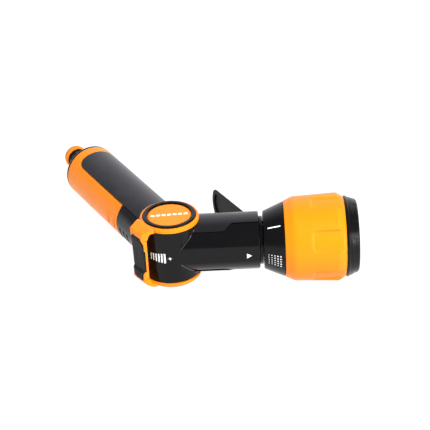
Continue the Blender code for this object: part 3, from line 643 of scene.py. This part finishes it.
# ================================================================================================
# Housing: drum, barrel and neck
# ================================================================================================
def bare_side(grow):
    """A cutter for the side of the barrel that its cover leaves bare, which widens at a step."""
    rear = SPINE_HALF_REAR + grow
    front = SPINE_HALF_FRONT + grow
    upper = [
        (-FAR, rear),
        (STEP_START - grow, rear, 2.0),
        (STEP_END - grow, front, 2.0),
        (BARREL_END + FAR, front),
    ]
    return prism(mirrored(upper), HAIR, FAR, Vector((1, 0, 0)), UP, Vector((0, -1, 0)))


def strip_side(grow):
    """A cutter for the handle's hard back strip, which opens with round corners into the band."""
    edge = STRIP_HALF + grow
    end = BAND_START - grow
    upper = [(-FAR, edge)]
    bits = 12
    for i in range(bits + 1):
        t = i / bits
        upper.append((end - CORNER_LONG * (1 - t) ** 2, edge + CORNER_WIDE * t * t))
    upper += [(end, TUBE + 1), (end + FAR, TUBE + 1)]
    return prism(mirrored(upper), HAIR, FAR, ALONG_HANDLE, UP, HANDLE_BACK)


def beyond(side, turn, offset):
    """A cutter beyond the upright plane through the drum's axis at the given angle."""
    low, high = sorted((side * offset, side * 3 * FAR))
    return block((-3 * FAR, low, -FAR), (3 * FAR, high, FAR), turn)


def trigger_slot(grow):
    """A cutter for the opening that the trigger's arms pass through."""
    half = SLOT_HALF + grow
    return block((SLOT_START - grow, 4, -half), (SLOT_END + grow, FAR, half))


def spine_warp(radius, _height, angle):
    """Flattens the barrel's side into a narrow facet."""
    facing = cos(angle - pi / 2)
    return min(radius, SPINE_FLAT / facing) if facing > 0.5 else radius


def barrel_solid():
    """The barrel, with its flat spine and its seat for the cover."""
    corners = [(0, BARREL_END), (SPINE, BARREL_END, 0.5), (SPINE, 0), (0, 0)]
    seat = cut(sleeve(CORE, FAR, 0, BARREL_END + FAR), bare_side(0))
    return cut(lathe(corners, warp=spine_warp), seat)


def neck_solid():
    """The neck and core of the handle, with three grooves across the neck's back."""
    beyond_neck = block((STRIP_START - GAP, -2 * FAR, -FAR), (3 * FAR, 2 * FAR, FAR), HANDLE_TURN)
    bare_neck = cut(strip_side(0), beyond_neck)
    seat = cut(sleeve(CORE, FAR, 0, HANDLE_END + FAR, "handle"), bare_neck)
    grooves = []
    for i in range(3):
        start = GROOVE_START + GROOVE_STEP * i
        corners = [
            (FAR, start + 3.3),
            (NECK + 0.1, start + 2.9, 0.3),
            (NECK - GROOVE_DEPTH, start + 1.7, 0.7),
            (NECK - GROOVE_DEPTH, start + 0.9, 0.7),
            (NECK + 0.1, start, 0.3),
            (FAR, start - 0.4),
        ]
        groove = lathe(corners, "handle")
        overlap(groove, block((-FAR, HAIR, -FAR), (3 * FAR, FAR, GROOVE_TOP), HANDLE_TURN))
        grooves.append(groove)
    return cut(rod(NECK, 0, HANDLE_END - 0.5, "handle"), seat, *grooves)


def main_housing():
    """Drum, barrel and handle core in one moulding, with their bores."""
    drum = [(0, DRUM_HALF), (TUBE, DRUM_HALF, 0.3), (TUBE, -DRUM_HALF, 0.3), (0, -DRUM_HALF)]
    housing = join(lathe(drum, "drum"), barrel_solid(), neck_solid())
    cut(
        housing,
        rod(DRUM_BORE, -FAR, FAR, "drum"),
        rod(BARREL_BORE, 0, BARREL_END + FAR),
        rod(MOUTH_BORE, MOUTH_START, BARREL_END + FAR),
        rod(HANDLE_BORE, HANDLE_BORE_START, HANDLE_END + FAR, "handle"),
        rod(WATER_BORE, 0, 30, "handle"),
        trigger_slot(0),
        rod(PIN_BORE, -PIN_REACH, PIN_REACH, "drum", SMALL_ROUND, PIVOT),
    )
    finish_piece(housing, "housing_shell", "housing", GLOSS, ["main_housing"])


def tube_along(path, sizes, sides=8):
    """A closed tube along a path of (point, outward normal) pairs, with a radius for each."""
    verts = []
    count = len(path)
    for i, ((point, normal), size) in enumerate(zip(path, sizes)):
        ahead = path[min(i + 1, count - 1)][0] - path[max(i - 1, 0)][0]
        side = ahead.cross(normal).normalized()
        up = side.cross(ahead).normalized()
        for k in range(sides):
            a = 2 * pi * k / sides
            verts.append(point + (up * cos(a) + side * sin(a)) * size)
    faces = [list(range(sides)), list(range((count - 1) * sides, count * sides))]
    for i in range(count - 1):
        for k in range(sides):
            n = (k + 1) % sides
            faces.append([i * sides + k, i * sides + n, (i + 1) * sides + n, (i + 1) * sides + k])
    return add_object(make_mesh(verts, faces))


def drum_fillets():
    """Thin fillets in the crease where the drum meets the spine and the cover of the barrel."""
    bits = 24
    for word, side in HALVES:
        for piece, radius, low, high in (("spine", SPINE, 5.6, 15.0), ("cover", COVER, 15.4, 18.9)):
            path = []
            sizes = []
            for i in range(bits + 1):
                height = low + (high - low) * i / bits
                out = sqrt(radius * radius - height * height)
                point = Vector((sqrt(TUBE * TUBE - out * out), -out, side * height))
                path.append((point, Vector((point.x, -2 * out, side * height)).normalized()))
                sizes.append(0.1 + 0.6 * sqrt(sin(pi * i / bits)))
            name = f"{word}_{piece}_fillet"
            finish_piece(tube_along(path, sizes), name, "housing", POLISHED, sharp=80)


def barrel_cover():
    """The satin cover round the trigger's side of the barrel."""
    end = BARREL_END - 0.2
    cover = lathe([(CORE + GAP, 2), (COVER, 2), (COVER, end, 0.7), (CORE + GAP, end)])
    cut(
        cover,
        bare_side(0.12),
        rod(TUBE + 0.1, -FAR, FAR, "drum"),
        beyond(1, HANDLE_TURN / 2, -GAP / 2),
        trigger_slot(0.7),
    )
    round_edges(cover, 0.4, 3)
    finish_piece(cover, "barrel_cover_shell", "housing", SATIN, ["barrel_cover"])


# ================================================================================================
# Handle
# ================================================================================================
def grip_overmold():
    """The soft grip round the front and the flanks of the handle."""
    grip = sleeve(CORE + GAP, TUBE, 2, BAND_START - GAP, "handle")
    cut(
        grip,
        strip_side(0.4),
        rod(TUBE + GAP, -FAR, FAR, "drum"),
        beyond(-1, HANDLE_TURN / 2, -GAP / 2),
    )
    round_edges(grip, 1.0, 4)
    finish_piece(grip, "grip_shell", "housing", GRIP, ["grip_overmold"])


def handle_back_cover():
    """The orange strip with its end band, and two ribs that stand on it."""
    cover = sleeve(CORE + GAP, TUBE, STRIP_START, HANDLE_END, "handle")
    before_band = block((-FAR, -FAR, -FAR), (BAND_START + 0.4, FAR, FAR), HANDLE_TURN)
    cut(cover, cut(before_band, strip_side(-0.5)))
    round_edges(cover, 0.5, 3)
    finish_piece(cover, "back_strip", "housing", ORANGE, ["handle_back_cover"])
    for i, place in enumerate(STRIP_RIBS):
        finish_piece(strip_rib(place), f"back_strip_rib_{i}", "housing", ORANGE, sharp=80)


def strip_rib(place):
    """A low rib across the strip, with rounded ends."""
    count = 30
    half = radians(17)
    path = []
    sizes = []
    for i in range(count + 1):
        angle = pi / 2 - half + 2 * half * i / count
        path.append((on("handle", TUBE, angle, place), on("handle", 1, angle, 0)))
        sizes.append(0.15 + 0.5 * sqrt(max(0, 1 - (2 * i / count - 1) ** 6)))
    return tube_along(path, sizes, 10)


def end_cap():
    """The black flange that closes the handle, with its skirt inside."""
    corners = [
        (9.3, 112),
        (HANDLE_BORE - GAP, 112),
        (HANDLE_BORE - GAP, HANDLE_END + GAP),
        (TUBE - 0.2, HANDLE_END + GAP, 0.2),
        (TUBE - 0.02, HANDLE_END + 1.0, 0.4),
        (TUBE - 0.1, HANDLE_END + 2.2, 0.6),
        (TUBE - 1.4, HANDLE_END + 3.6, 0.8),
        (9.3, HANDLE_END + 4.0),
    ]
    cap = lathe(corners, "handle")
    finish_piece(cap, "end_cap_shell", "housing", GLOSS, ["end_cap"])


def hose_connector():
    """Black shank, fluted along its middle and grooved near its end for a coupler's catches."""
    flutes = 12
    depth = 0.45

    def fluted(radius, height, angle):
        on_flutes = 7.0 < radius < 7.5 and 131.0 < height < 144.0
        return radius - depth * max(0, cos(flutes * angle)) if on_flutes else radius

    corners = [
        (4.6, 112.5),
        (9.0, 112.5),
        (9.0, 127.2),
        (9.6, 127.3, 0.3),
        (9.6, 129.4, 0.6),
        (7.3, 130.3, 0.4),
        (7.3, 144.6, 0.3),
        (6.4, 145.2, 0.2),
        (6.4, 146.4, 0.2),
        (7.3, 146.9, 0.2),
        (7.3, 147.6, 0.2),
        (6.6, 147.8),
        (6.6, 152.9, 0.4),
        (5.2, 152.9, 0.2),
        (4.6, 152.2, 0.2),
    ]
    shank = lathe(corners, "handle", warp=fluted, longest=1.0)
    finish_piece(shank, "connector_shank", "housing", GLOSS, ["hose_connector"])


def connector_collar():
    """The orange collar, and the seal ring in front of it."""
    front = 151.5
    collar = [
        (6.9, 148.1),
        (7.6, 148.1, 0.2),
        (8.4, 148.9, 0.4),
        (8.4, 150.8, 0.4),
        (7.9, front, 0.3),
        (6.9, front),
    ]
    ring = lathe(collar, "handle")
    finish_piece(ring, "collar_ring", "housing", ORANGE, ["connector_collar"])
    seal = [(6.7, front), (7.8, front, 0.3), (8.0, 152.0, 0.3), (7.8, 152.5, 0.3), (6.7, 152.5)]
    ring = lathe(seal, "handle")
    finish_piece(ring, "tip_seal_ring", "housing", RUBBER, ["connector_tip_seal"])


# ================================================================================================
# Flow valve
# ================================================================================================
def yoke_ring(side):
    """One of the yoke's two rings, with the web that carries its hub."""
    edge = {1: 0.9, -1: 1.4}[side]
    corners = [
        (5.0, YOKE_FLOOR),
        (YOKE, YOKE_FLOOR, 0.2),
        (YOKE, YOKE_TOP - edge, 0.7),
        (YOKE - edge, YOKE_TOP, 0.7),
        (HUB + GAP, YOKE_TOP, 0.2),
        (HUB + GAP, YOKE_WEB),
        (5.0, YOKE_WEB),
    ]
    return lathe([(r, side * h, *f) for r, h, *f in corners], "drum")


def pad_window(grow):
    """Front view (t, z) of the thumb pad: waisted at the top and drawn in at the foot."""
    right = [
        (5.0 + grow, PAD_HALF + grow, 1.0),
        (5.2 + grow, 13.0),
        (6.3 + grow, 8.0, 2.0),
        (6.5 + grow, -6.5, 2.0),
        (6.3 + grow, -9.6, 0.6),
        (4.9 + grow, -11.6, 0.6),
        (4.9 + grow, -PAD_HALF - grow, 2.4),
    ]
    return right + [(-t, z, *f) for t, z, *f in reversed(right)]


def lever_frame():
    """The lever's own axes: outward from the drum, and sideways."""
    out = on("drum", 1, LEVER_TURN, 0)
    return out, UP.cross(out)


def lever_arm():
    """The C-shaped arm: its side view, trimmed to its plan and hollowed for the side windows."""
    section = [
        (18.6, YOKE_FLOOR),
        (18.6, YOKE_TOP - 0.1),
        (20.4, YOKE_TOP - 0.1, 1.5),
        (LEVER_REACH, 20.2, 1.0),
        (LEVER_REACH, 15.5, 0.8),
        (LEVER_REACH - 1.6, 12.0, 1.5),
        (LEVER_REACH - 1.6, -7.5, 1.5),
        (LEVER_REACH - 0.3, -11.0, 1.0),
        (LEVER_REACH - 0.3, -PAD_HALF - GAP),
        (LEVER_REACH - 1.0, -18.6, 1.2),
        (21.6, 0.9 - YOKE_TOP, 2.0),
        (18.6, 0.9 - YOKE_TOP),
        (18.6, -YOKE_FLOOR),
        (21.4, -YOKE_FLOOR, 1.0),
        (23.2, 3.0 - YOKE_FLOOR, 1.5),
        (23.2, YOKE_FLOOR - 3.0, 1.5),
        (21.4, YOKE_FLOOR, 1.0),
    ]
    out, side = lever_frame()
    arm = prism(section, -12, 12, out, UP, side)
    far = LEVER_REACH + 2
    plan = [(16, -10.1), (far, 0.5 - LEVER_HALF), (far, LEVER_HALF - 0.5), (16, 10.1)]
    overlap(arm, prism(plan, -FAR, FAR, out, side, UP))
    window = [(0, -15.5), (FAR, -15.5), (FAR, 15.5), (0, 15.5)]
    for sign in (-1, 1):
        low, high = sorted((sign * LEVER_HALF, sign * FAR))
        cut(arm, prism(window, low, high, out, UP, side))
    cut(arm, prism(pad_window(0.2), LEVER_REACH - 2.6, FAR, side, UP, out))
    return round_edges(arm, 0.4)


def flow_yoke():
    """The orange yoke: two rings joined by the lever's arm."""
    yoke = join(yoke_ring(1), yoke_ring(-1), lever_arm())
    finish_piece(yoke, "yoke_shell", "flow_control", ORANGE, ["flow_yoke"])


def thumb_pad():
    """Rubber pad, slightly hollow down its front, with a groove above a raised foot."""
    back = LEVER_REACH - 2.4
    section = [
        (back, PAD_HALF),
        (back, -PAD_HALF),
        (26.8, -PAD_HALF, 0.6),
        (27.7, -14.8, 1.0),
        (27.6, -10.2, 0.8),
        (26.2, -8.6, 0.6),
        (26.3, -6.6, 0.6),
        (26.5, 0, 6.0),
        (26.8, 9.0, 3.0),
        (27.8, 13.8, 1.0),
        (27.2, PAD_HALF, 0.6),
    ]
    out, side = lever_frame()
    pad = prism(section, -LEVER_HALF, LEVER_HALF, out, UP, side)
    overlap(pad, prism(pad_window(0), 0, FAR, side, UP, out))
    round_edges(pad, 0.35, 2, 45)
    finish_piece(pad, "thumb_pad_skin", "flow_control", RUBBER, ["thumb_pad"])


def hub(word, side):
    """A black ring inside one of the yoke's rings, hollow for its cap disc."""
    corners = [
        (1.9, YOKE_WEB + GAP),
        (HUB, YOKE_WEB + GAP),
        (HUB, HUB_TOP, 0.9),
        (DISC + GAP, HUB_TOP, 0.5),
        (DISC + GAP, YOKE_WEB + 1.3),
        (4.0, YOKE_WEB + 1.3),
        (4.0, YOKE_WEB + 0.9),
        (1.9, YOKE_WEB + 0.9),
    ]
    ring = lathe([(r, side * h, *f) for r, h, *f in corners], "drum")
    finish_piece(ring, f"{word}_hub_ring", "flow_control", GLOSS, [f"{word}_hub"])


def cap_disc(word, side):
    """An orange disc in the middle of its hub."""
    foot = YOKE_WEB + 1.6
    corners = [
        (0, DISC_TOP),
        (DISC - 1.0, DISC_TOP, 0.5),
        (DISC, DISC_TOP - 0.6, 0.3),
        (DISC, foot),
        (4.0, foot),
        (4.0, foot + 0.5),
        (0, foot + 0.5),
    ]
    disc = lathe([(r, side * h, *f) for r, h, *f in corners], "drum")
    finish_piece(disc, f"{word}_cap", "flow_control", ORANGE, [f"{word}_cap_disc"])


# ================================================================================================
# Trigger
# ================================================================================================
def trigger():
    """Finger paddle, hollow behind, on two arms that reach the valve."""
    along = Vector((cos(TRIGGER_TURN), sin(TRIGGER_TURN), 0))
    inward = Vector((-along.y, along.x, 0))
    root = TRIGGER_ROOT - PIVOT
    tip = root + along * TRIGGER_LENGTH
    thick = inward * 2.0
    profile = [
        (2.5, 3.0),
        (root.x, root.y, 1.5),
        (tip.x, tip.y),
        ((tip + thick).x, (tip + thick).y),
        ((root + thick).x, (root + thick).y),
        (-2.6, 2.4),
        (-4.9, -10.3),
        (-4.9, -12.5, 0.8),
        (-3.6, -13.3, 0.8),
        (-2.3, -12.7, 0.8),
        (-2.0, -11.1),
        (-2.0, -5.2),
        (1.6, -2.0),
        (3.2, 0),
    ]
    paddle = prism(profile, -TRIGGER_HALF, TRIGGER_HALF, Vector((1, 0, 0)), Vector((0, 1, 0)), UP)
    shoulder = 7.2
    cut(
        paddle,
        block((-FAR, -FAR, ARM_HALF), (FAR, shoulder, FAR)),
        block((-FAR, -FAR, -FAR), (FAR, shoulder, -ARM_HALF)),
        block((-FAR, -FAR, -FORK_HALF), (FAR, -3.2, FORK_HALF)),
        rod(PIN_BORE, -FAR, FAR, "drum", SMALL_ROUND),
    )
    shape = [(-FAR, -FAR), (TRIGGER_LENGTH - TIP_ROUND, -FAR)]
    half_bits = 12
    for i in range(2 * half_bits + 1):
        a = radians(40) * (i / half_bits - 1)
        shape.append((TRIGGER_LENGTH - TIP_ROUND * (1 - cos(a)), TIP_ROUND * sin(a)))
    shape += [(TRIGGER_LENGTH - TIP_ROUND, FAR), (-FAR, FAR)]
    overlap(paddle, prism(shape, -FAR, FAR, along, UP, inward, centre=root))
    hollow = [(1.0, -7.4, 2.0), (TRIGGER_LENGTH - 4.2, -7.4, 2.0), (TRIGGER_LENGTH - 1.6, 0, 12)]
    hollow += [(TRIGGER_LENGTH - 4.2, 7.4, 2.0), (1.0, 7.4, 2.0)]
    cut(paddle, prism(hollow, 1.0, FAR, along, UP, inward, centre=root))
    round_edges(paddle, 0.4)
    paddle.data.transform(Matrix.Translation(PIVOT))
    finish_piece(paddle, "trigger_paddle", "trigger", MATT, ["trigger"])


# ================================================================================================
# Spray head
# ================================================================================================
def head_spigot():
    """The neck between the barrel and the head, with its inner tube."""
    corners = [
        (8.6, 54.3),
        (15.5, 54.3),
        (15.5, BARREL_END + 0.1),
        (16.35, BARREL_END + 0.3, 0.2),
        (16.35, 62.0, 0.2),
        (15.6, 62.0),
        (15.6, 61.2),
        (12.2, 61.2),
        (12.2, 62.0),
        (11.0, 62.0),
        (11.0, 73.0),
        (9.5, 73.0),
        (9.5, 75.2),
        (11.0, 75.2),
        (11.0, 79.0),
        (4.0, 79.0),
        (4.0, 75.0),
        (5.5, 75.0),
        (5.5, 69.8),
        (6.6, 69.8),
        (6.6, 67.8),
        (5.5, 67.8),
        (5.5, 65.4),
        (8.6, 65.4),
    ]
    finish_piece(lathe(corners), "neck_ring", "housing", GLOSS, ["head_spigot"])


def head_cone():
    """The black cone, with the bore of its click stop."""
    corners = [
        (11.3, 62.4),
        (19.0, 62.4, 0.3),
        (CONE_REAR, CONE_START, 0.4),
        (CONE_FRONT, CONE_END, 0.2),
        (23.0, CONE_END),
        (18.6, 66.0),
        (16.6, 66.0),
        (16.6, 71.0),
        (14.0, 71.0),
        (14.0, 79.0),
        (11.3, 79.0),
    ]
    bore = rod(1.9, 60, 69.5, steps=SMALL_ROUND, centre=UP * 13.9)
    cone = cut(lathe(corners), bore)
    finish_piece(cone, "cone_shell", "spray_head", GLOSS, ["head_cone"])


def from_nearest(angle, first):
    """How far an angle is from the nearest of the head's even places, the first of them given."""
    step = 2 * pi / PATTERNS
    return abs((angle - first + step / 2) % step - step / 2)


def recess_share(height, angle):
    """How far a point of the bezel lies inside a finger recess, from 0 to 1."""
    beside = (RECESS_HALF - from_nearest(angle, RECESS_TURN)) * BEZEL_WIDE
    ahead = height - RECESS_START
    inside = min(beside, ahead)
    if max(beside, ahead) < RECESS_CORNER:
        inside = RECESS_CORNER - hypot(RECESS_CORNER - beside, RECESS_CORNER - ahead)
    return smoothstep(-0.15, 0.5, inside)


def bezel_warp(radius, height, angle):
    """Presses six finger recesses into the bezel's outer skin."""
    if radius < 26.5:
        return radius
    return radius + (min(radius, RECESS_FLOOR) - radius) * recess_share(height, angle)


def head_bezel():
    """The orange bezel, with a finger recess for each spray pattern."""
    corners = [
        (23.4, 76.5),
        (25.6, 76.5, 0.3),
        (28.5, 82.5, 1.6),
        (28.75, 89.2, 3),
        (29.9, 112.4, 1.2),
        (26.9, 117.2, 0.4),
        (24.4, 117.2),
        (24.4, 79.5),
    ]
    bezel = lathe(corners, steps=360, warp=bezel_warp, longest=0.8)
    finish_piece(bezel, "bezel_shell", "spray_head", ORANGE, ["head_bezel"], sharp=50)


def front_ring():
    """Black ring with six shallow notches in its rim, each running out on to its side."""
    def notched(radius, height, angle):
        if height < NOTCH_START or radius < 23.8:
            return radius
        inside = (NOTCH_HALF - from_nearest(angle, NOTCH_TURN)) * radius
        return radius - NOTCH_DEPTH * smoothstep(-0.15, 0.15, inside)

    corners = [
        (22.3, 117.5),
        (27.5, 117.5, 0.2),
        (27.5, 118.9, 0.4),
        (26.9, 119.4, 0.2),
        (26.6, 120.4, 0.3),
        (25.0, 125.2, 0.5),
        (24.0, 125.95, 0.3),
        (22.3, 125.95, 0.2),
    ]
    ring = lathe(corners, steps=360, warp=notched, longest=0.8)
    finish_piece(ring, "front_ring_shell", "spray_head", GLOSS, ["front_ring"])


def spray_face():
    """Face plate with two shallow rings and a hole for each outlet."""
    corners = [
        (2.3, 119.0),
        (21.9, 119.0),
        (21.9, FACE_FRONT, 0.3),
        (20.2, FACE_FRONT, 0.2),
        (19.9, FACE_FRONT - 0.5, 0.2),
        (19.2, FACE_FRONT - 0.5, 0.2),
        (18.9, FACE_FRONT, 0.2),
        (7.4, FACE_FRONT, 0.2),
        (7.1, FACE_FRONT - 0.4, 0.2),
        (6.5, FACE_FRONT - 0.4, 0.2),
        (6.2, FACE_FRONT, 0.2),
        (2.3, FACE_FRONT),
    ]
    plate = lathe(corners)
    for i in range(PATTERNS):
        port = on("barrel", PORT_CIRCLE, 2 * pi * i / PATTERNS, 0)
        cut(plate, rod(2.0, 110, 130, steps=SMALL_ROUND, centre=port))
    finish_piece(plate, "face_plate", "spray_head", FACE, ["spray_face"])


# ================================================================================================
# Printed marks: thin ink on a surface.  An on_ function gives a point of its surface and the way
# out of it, from the surface's own two measures.
# ================================================================================================
def on_drum(height, angle):
    return on("drum", TUBE, angle, height), on("drum", 1, angle, 0)


def on_cone(height, angle):
    radius = CONE_REAR + (CONE_FRONT - CONE_REAR) * (height - CONE_START) / (CONE_END - CONE_START)
    return on("barrel", radius, angle, height), on("barrel", 1, angle, 0)


def on_spine(along, height):
    return Vector((along, -SPINE_FLAT, height)), Vector((0, -1, 0))


def on_cap(across, up):
    return Vector((across, up, DISC_TOP)), UP


def printed(name, body, surface, outlines):
    """Patches of ink.  Each outline is a loop in the surface's own terms."""
    verts = []
    faces = []
    for outline in outlines:
        count = len(outline)
        first = len(verts)
        middle = (sum(u for u, _ in outline) / count, sum(v for _, v in outline) / count)
        for lift in (INK, -INK):
            for place in [*outline, middle]:
                point, normal = surface(*place)
                verts.append(point + normal * lift)
        under = first + count + 1
        for i in range(count):
            n = (i + 1) % count
            faces.append([first + i, first + n, first + count])
            faces.append([under + n, under + i, under + count])
            faces.append([first + n, first + i, under + i, under + n])
    marks = add_object(make_mesh(verts, faces))
    finish_piece(marks, name, body, PRINT, sharp=80)


def oblong(u, v, half_u, half_v):
    """A loop with four corners."""
    signs = ((-1, -1), (1, -1), (1, 1), (-1, 1))
    return [(u + half_u * right, v + half_v * up) for right, up in signs]


def spot(u, v, half_u, half_v, points=12):
    """A round or oval loop."""
    turns = [2 * pi * i / points for i in range(points)]
    return [(u + half_u * cos(t), v + half_v * sin(t)) for t in turns]


def flow_marks():
    """Six bars that grow towards full flow, and a four-pointed star past the last."""
    bars = []
    for i in range(BARS):
        angle = radians(FIRST_BAR + BAR_STEP * i)
        bars.append(oblong(0.1, angle, 2.45 + 0.24 * i, (0.42 + 0.035 * i) / TUBE))
    printed("flow_bars", "housing", on_drum, bars)
    star = []
    for i in range(8):
        share = 1.0 if i % 2 == 0 else 0.3
        turn = pi * i / 4
        star.append((1.35 * share * sin(turn), STAR_TURN + 1.6 * share * cos(turn) / TUBE))
    printed("flow_star", "housing", on_drum, [star])


def pointer_mark():
    """The arrowhead that points at the chosen pattern."""
    printed("pattern_pointer", "housing", on_spine, [[(50.9, 0.7), (50.9, -3.1), (54.1, -1.2)]])


def pattern_marks():
    """Marks for the first five spray patterns, a sixth of a turn apart."""
    jet, shower, fan, mist, soaker = (FIRST_PATTERN + 2 * pi * i / PATTERNS for i in range(5))
    printed("jet_mark", "spray_head", on_cone, [oblong(69.5, jet, 4.2, 0.42 / 22)])
    dots = []
    for i in range(SHOWER_ROWS):
        height = 65.4 + 1.95 * i
        size = 0.32 + 0.06 * i
        for k in range(SHOWER_ROWS):
            angle = shower + radians(4.9 * (k - 2))
            dots.append(spot(height, angle, size, size / (20.8 + 0.86 * i)))
    printed("shower_mark", "spray_head", on_cone, dots)
    wedge = [(66.0, fan), (73.4, fan - 0.09), (73.4, fan + 0.09)]
    printed("fan_mark", "spray_head", on_cone, [wedge])
    middle = 69.6
    wide = 22.5
    ring = [spot(u, v, 0.45, 0.02) for u, v in spot(middle, mist, 2.6, 2.6 / wide, 8)]
    printed("mist_mark", "spray_head", on_cone, ring)
    printed("soaker_mark", "spray_head", on_cone, [spot(middle, soaker, 2.4, 2.4 / wide, 24)])


def cap_dashes():
    """A plain row of dashes across the upper disc."""
    along = Vector((cos(CAP_TURN), sin(CAP_TURN)))
    across = Vector((-along.y, along.x))
    dashes = []
    for i in range(DASHES):
        middle = along * (DASH_STEP * (i - DASHES // 2))
        dashes.append([tuple(middle + along * x + across * y) for x, y in oblong(0, 0, 1.25, 1.0)])
    printed("cap_dash_row", "flow_control", on_cap, dashes)


# ================================================================================================
# Room: floor, light and camera
# ================================================================================================
def floor():
    """A pale lit table, bright enough to lose its shadows."""
    corners = [(x, y, 0) for x, y in oblong(0, 0, FLOOR_HALF, FLOOR_HALF)]
    mesh = bpy.data.meshes.new("floor")
    mesh.from_pydata(corners, [], [(0, 1, 2, 3)])
    plane = bpy.data.objects.new("floor", mesh)
    bpy.context.scene.collection.objects.link(plane)
    g = Graph("studio_floor")
    tone = g.mix(g.noise(3, 3), colour(0.14, 0.14, 0.14), colour(0.16, 0.16, 0.16))
    mesh.materials.append(
        g.set(Base_Color=tone, Roughness=0.9, Emission_Color=colour(1, 1, 1), Emission_Strength=0.98)
    )


def area_light(name, direction, distance, size, power, glossy):
    """A soft box that faces the nozzle from a direction."""
    data = bpy.data.lights.new(name, "AREA")
    data.shape = "RECTANGLE"
    data.size, data.size_y = size
    data.energy = power
    light = bpy.data.objects.new(name, data)
    toward = Vector(direction).normalized()
    light.location = toward * distance
    light.rotation_euler = toward.to_track_quat("Z", "Y").to_euler()
    light.visible_glossy = glossy
    bpy.context.scene.collection.objects.link(light)


def lights():
    """A key light and a fill that leave no reflections, and a side box that does."""
    area_light("key", (0.35, -0.55, 0.76), distance=1.4, size=(0.9, 0.9), power=31, glossy=False)
    area_light("fill", (-0.75, -0.5, 0.45), distance=1.4, size=(0.8, 0.8), power=4, glossy=False)
    area_light("side_box", (0.76, -0.58, 0.27), distance=1.1, size=(0.36, 0.5), power=4, glossy=True)


def surroundings():
    """Soft light from all round, which grows stronger towards the back of the room."""
    world = bpy.data.worlds.new("studio")
    world.use_nodes = True
    tree = world.node_tree
    place = tree.nodes.new("ShaderNodeTexCoord").outputs["Generated"]
    split = tree.nodes.new("ShaderNodeSeparateXYZ")
    fade = tree.nodes.new("ShaderNodeMapRange")
    fade.interpolation_type = "SMOOTHSTEP"
    tree.links.new(place, split.inputs[0])
    tree.links.new(split.outputs["Y"], fade.inputs["Value"])
    limits = {"From Min": 0.2, "From Max": 0.85, "To Min": 0.28, "To Max": 1.3}
    for name, value in limits.items():
        fade.inputs[name].default_value = value
    tree.links.new(fade.outputs[0], tree.nodes["Background"].inputs["Strength"])
    tree.nodes["Background"].inputs["Color"].default_value = (0.97, 0.97, 1.05, 1)
    bpy.context.scene.world = world
    bpy.context.scene.view_settings.view_transform = "Standard"


def camera():
    """The camera, looking down on the nozzle from the front."""
    data = bpy.data.cameras.new("camera")
    data.lens = FOCAL_LENGTH
    data.sensor_width = SENSOR
    level = Vector((sin(CAMERA_TURN), cos(CAMERA_TURN), 0))
    look = level * cos(CAMERA_DIP) - UP * sin(CAMERA_DIP)
    view = bpy.data.objects.new("camera", data)
    view.location = CAMERA_AIM - look * CAMERA_DISTANCE
    turn = look.to_track_quat("-Z", "Y").to_matrix() @ Matrix.Rotation(CAMERA_ROLL, 3, "Z")
    view.rotation_euler = turn.to_euler()
    bpy.context.scene.collection.objects.link(view)
    bpy.context.scene.camera = view


dress_frame_nodes()
main_housing()
drum_fillets()
barrel_cover()
grip_overmold()
handle_back_cover()
end_cap()
hose_connector()
connector_collar()
flow_yoke()
thumb_pad()
for word, side in HALVES:
    hub(word, side)
    cap_disc(word, side)
trigger()
head_spigot()
head_cone()
head_bezel()
front_ring()
spray_face()
flow_marks()
pointer_mark()
pattern_marks()
cap_dashes()
floor()
lights()
surroundings()
camera()
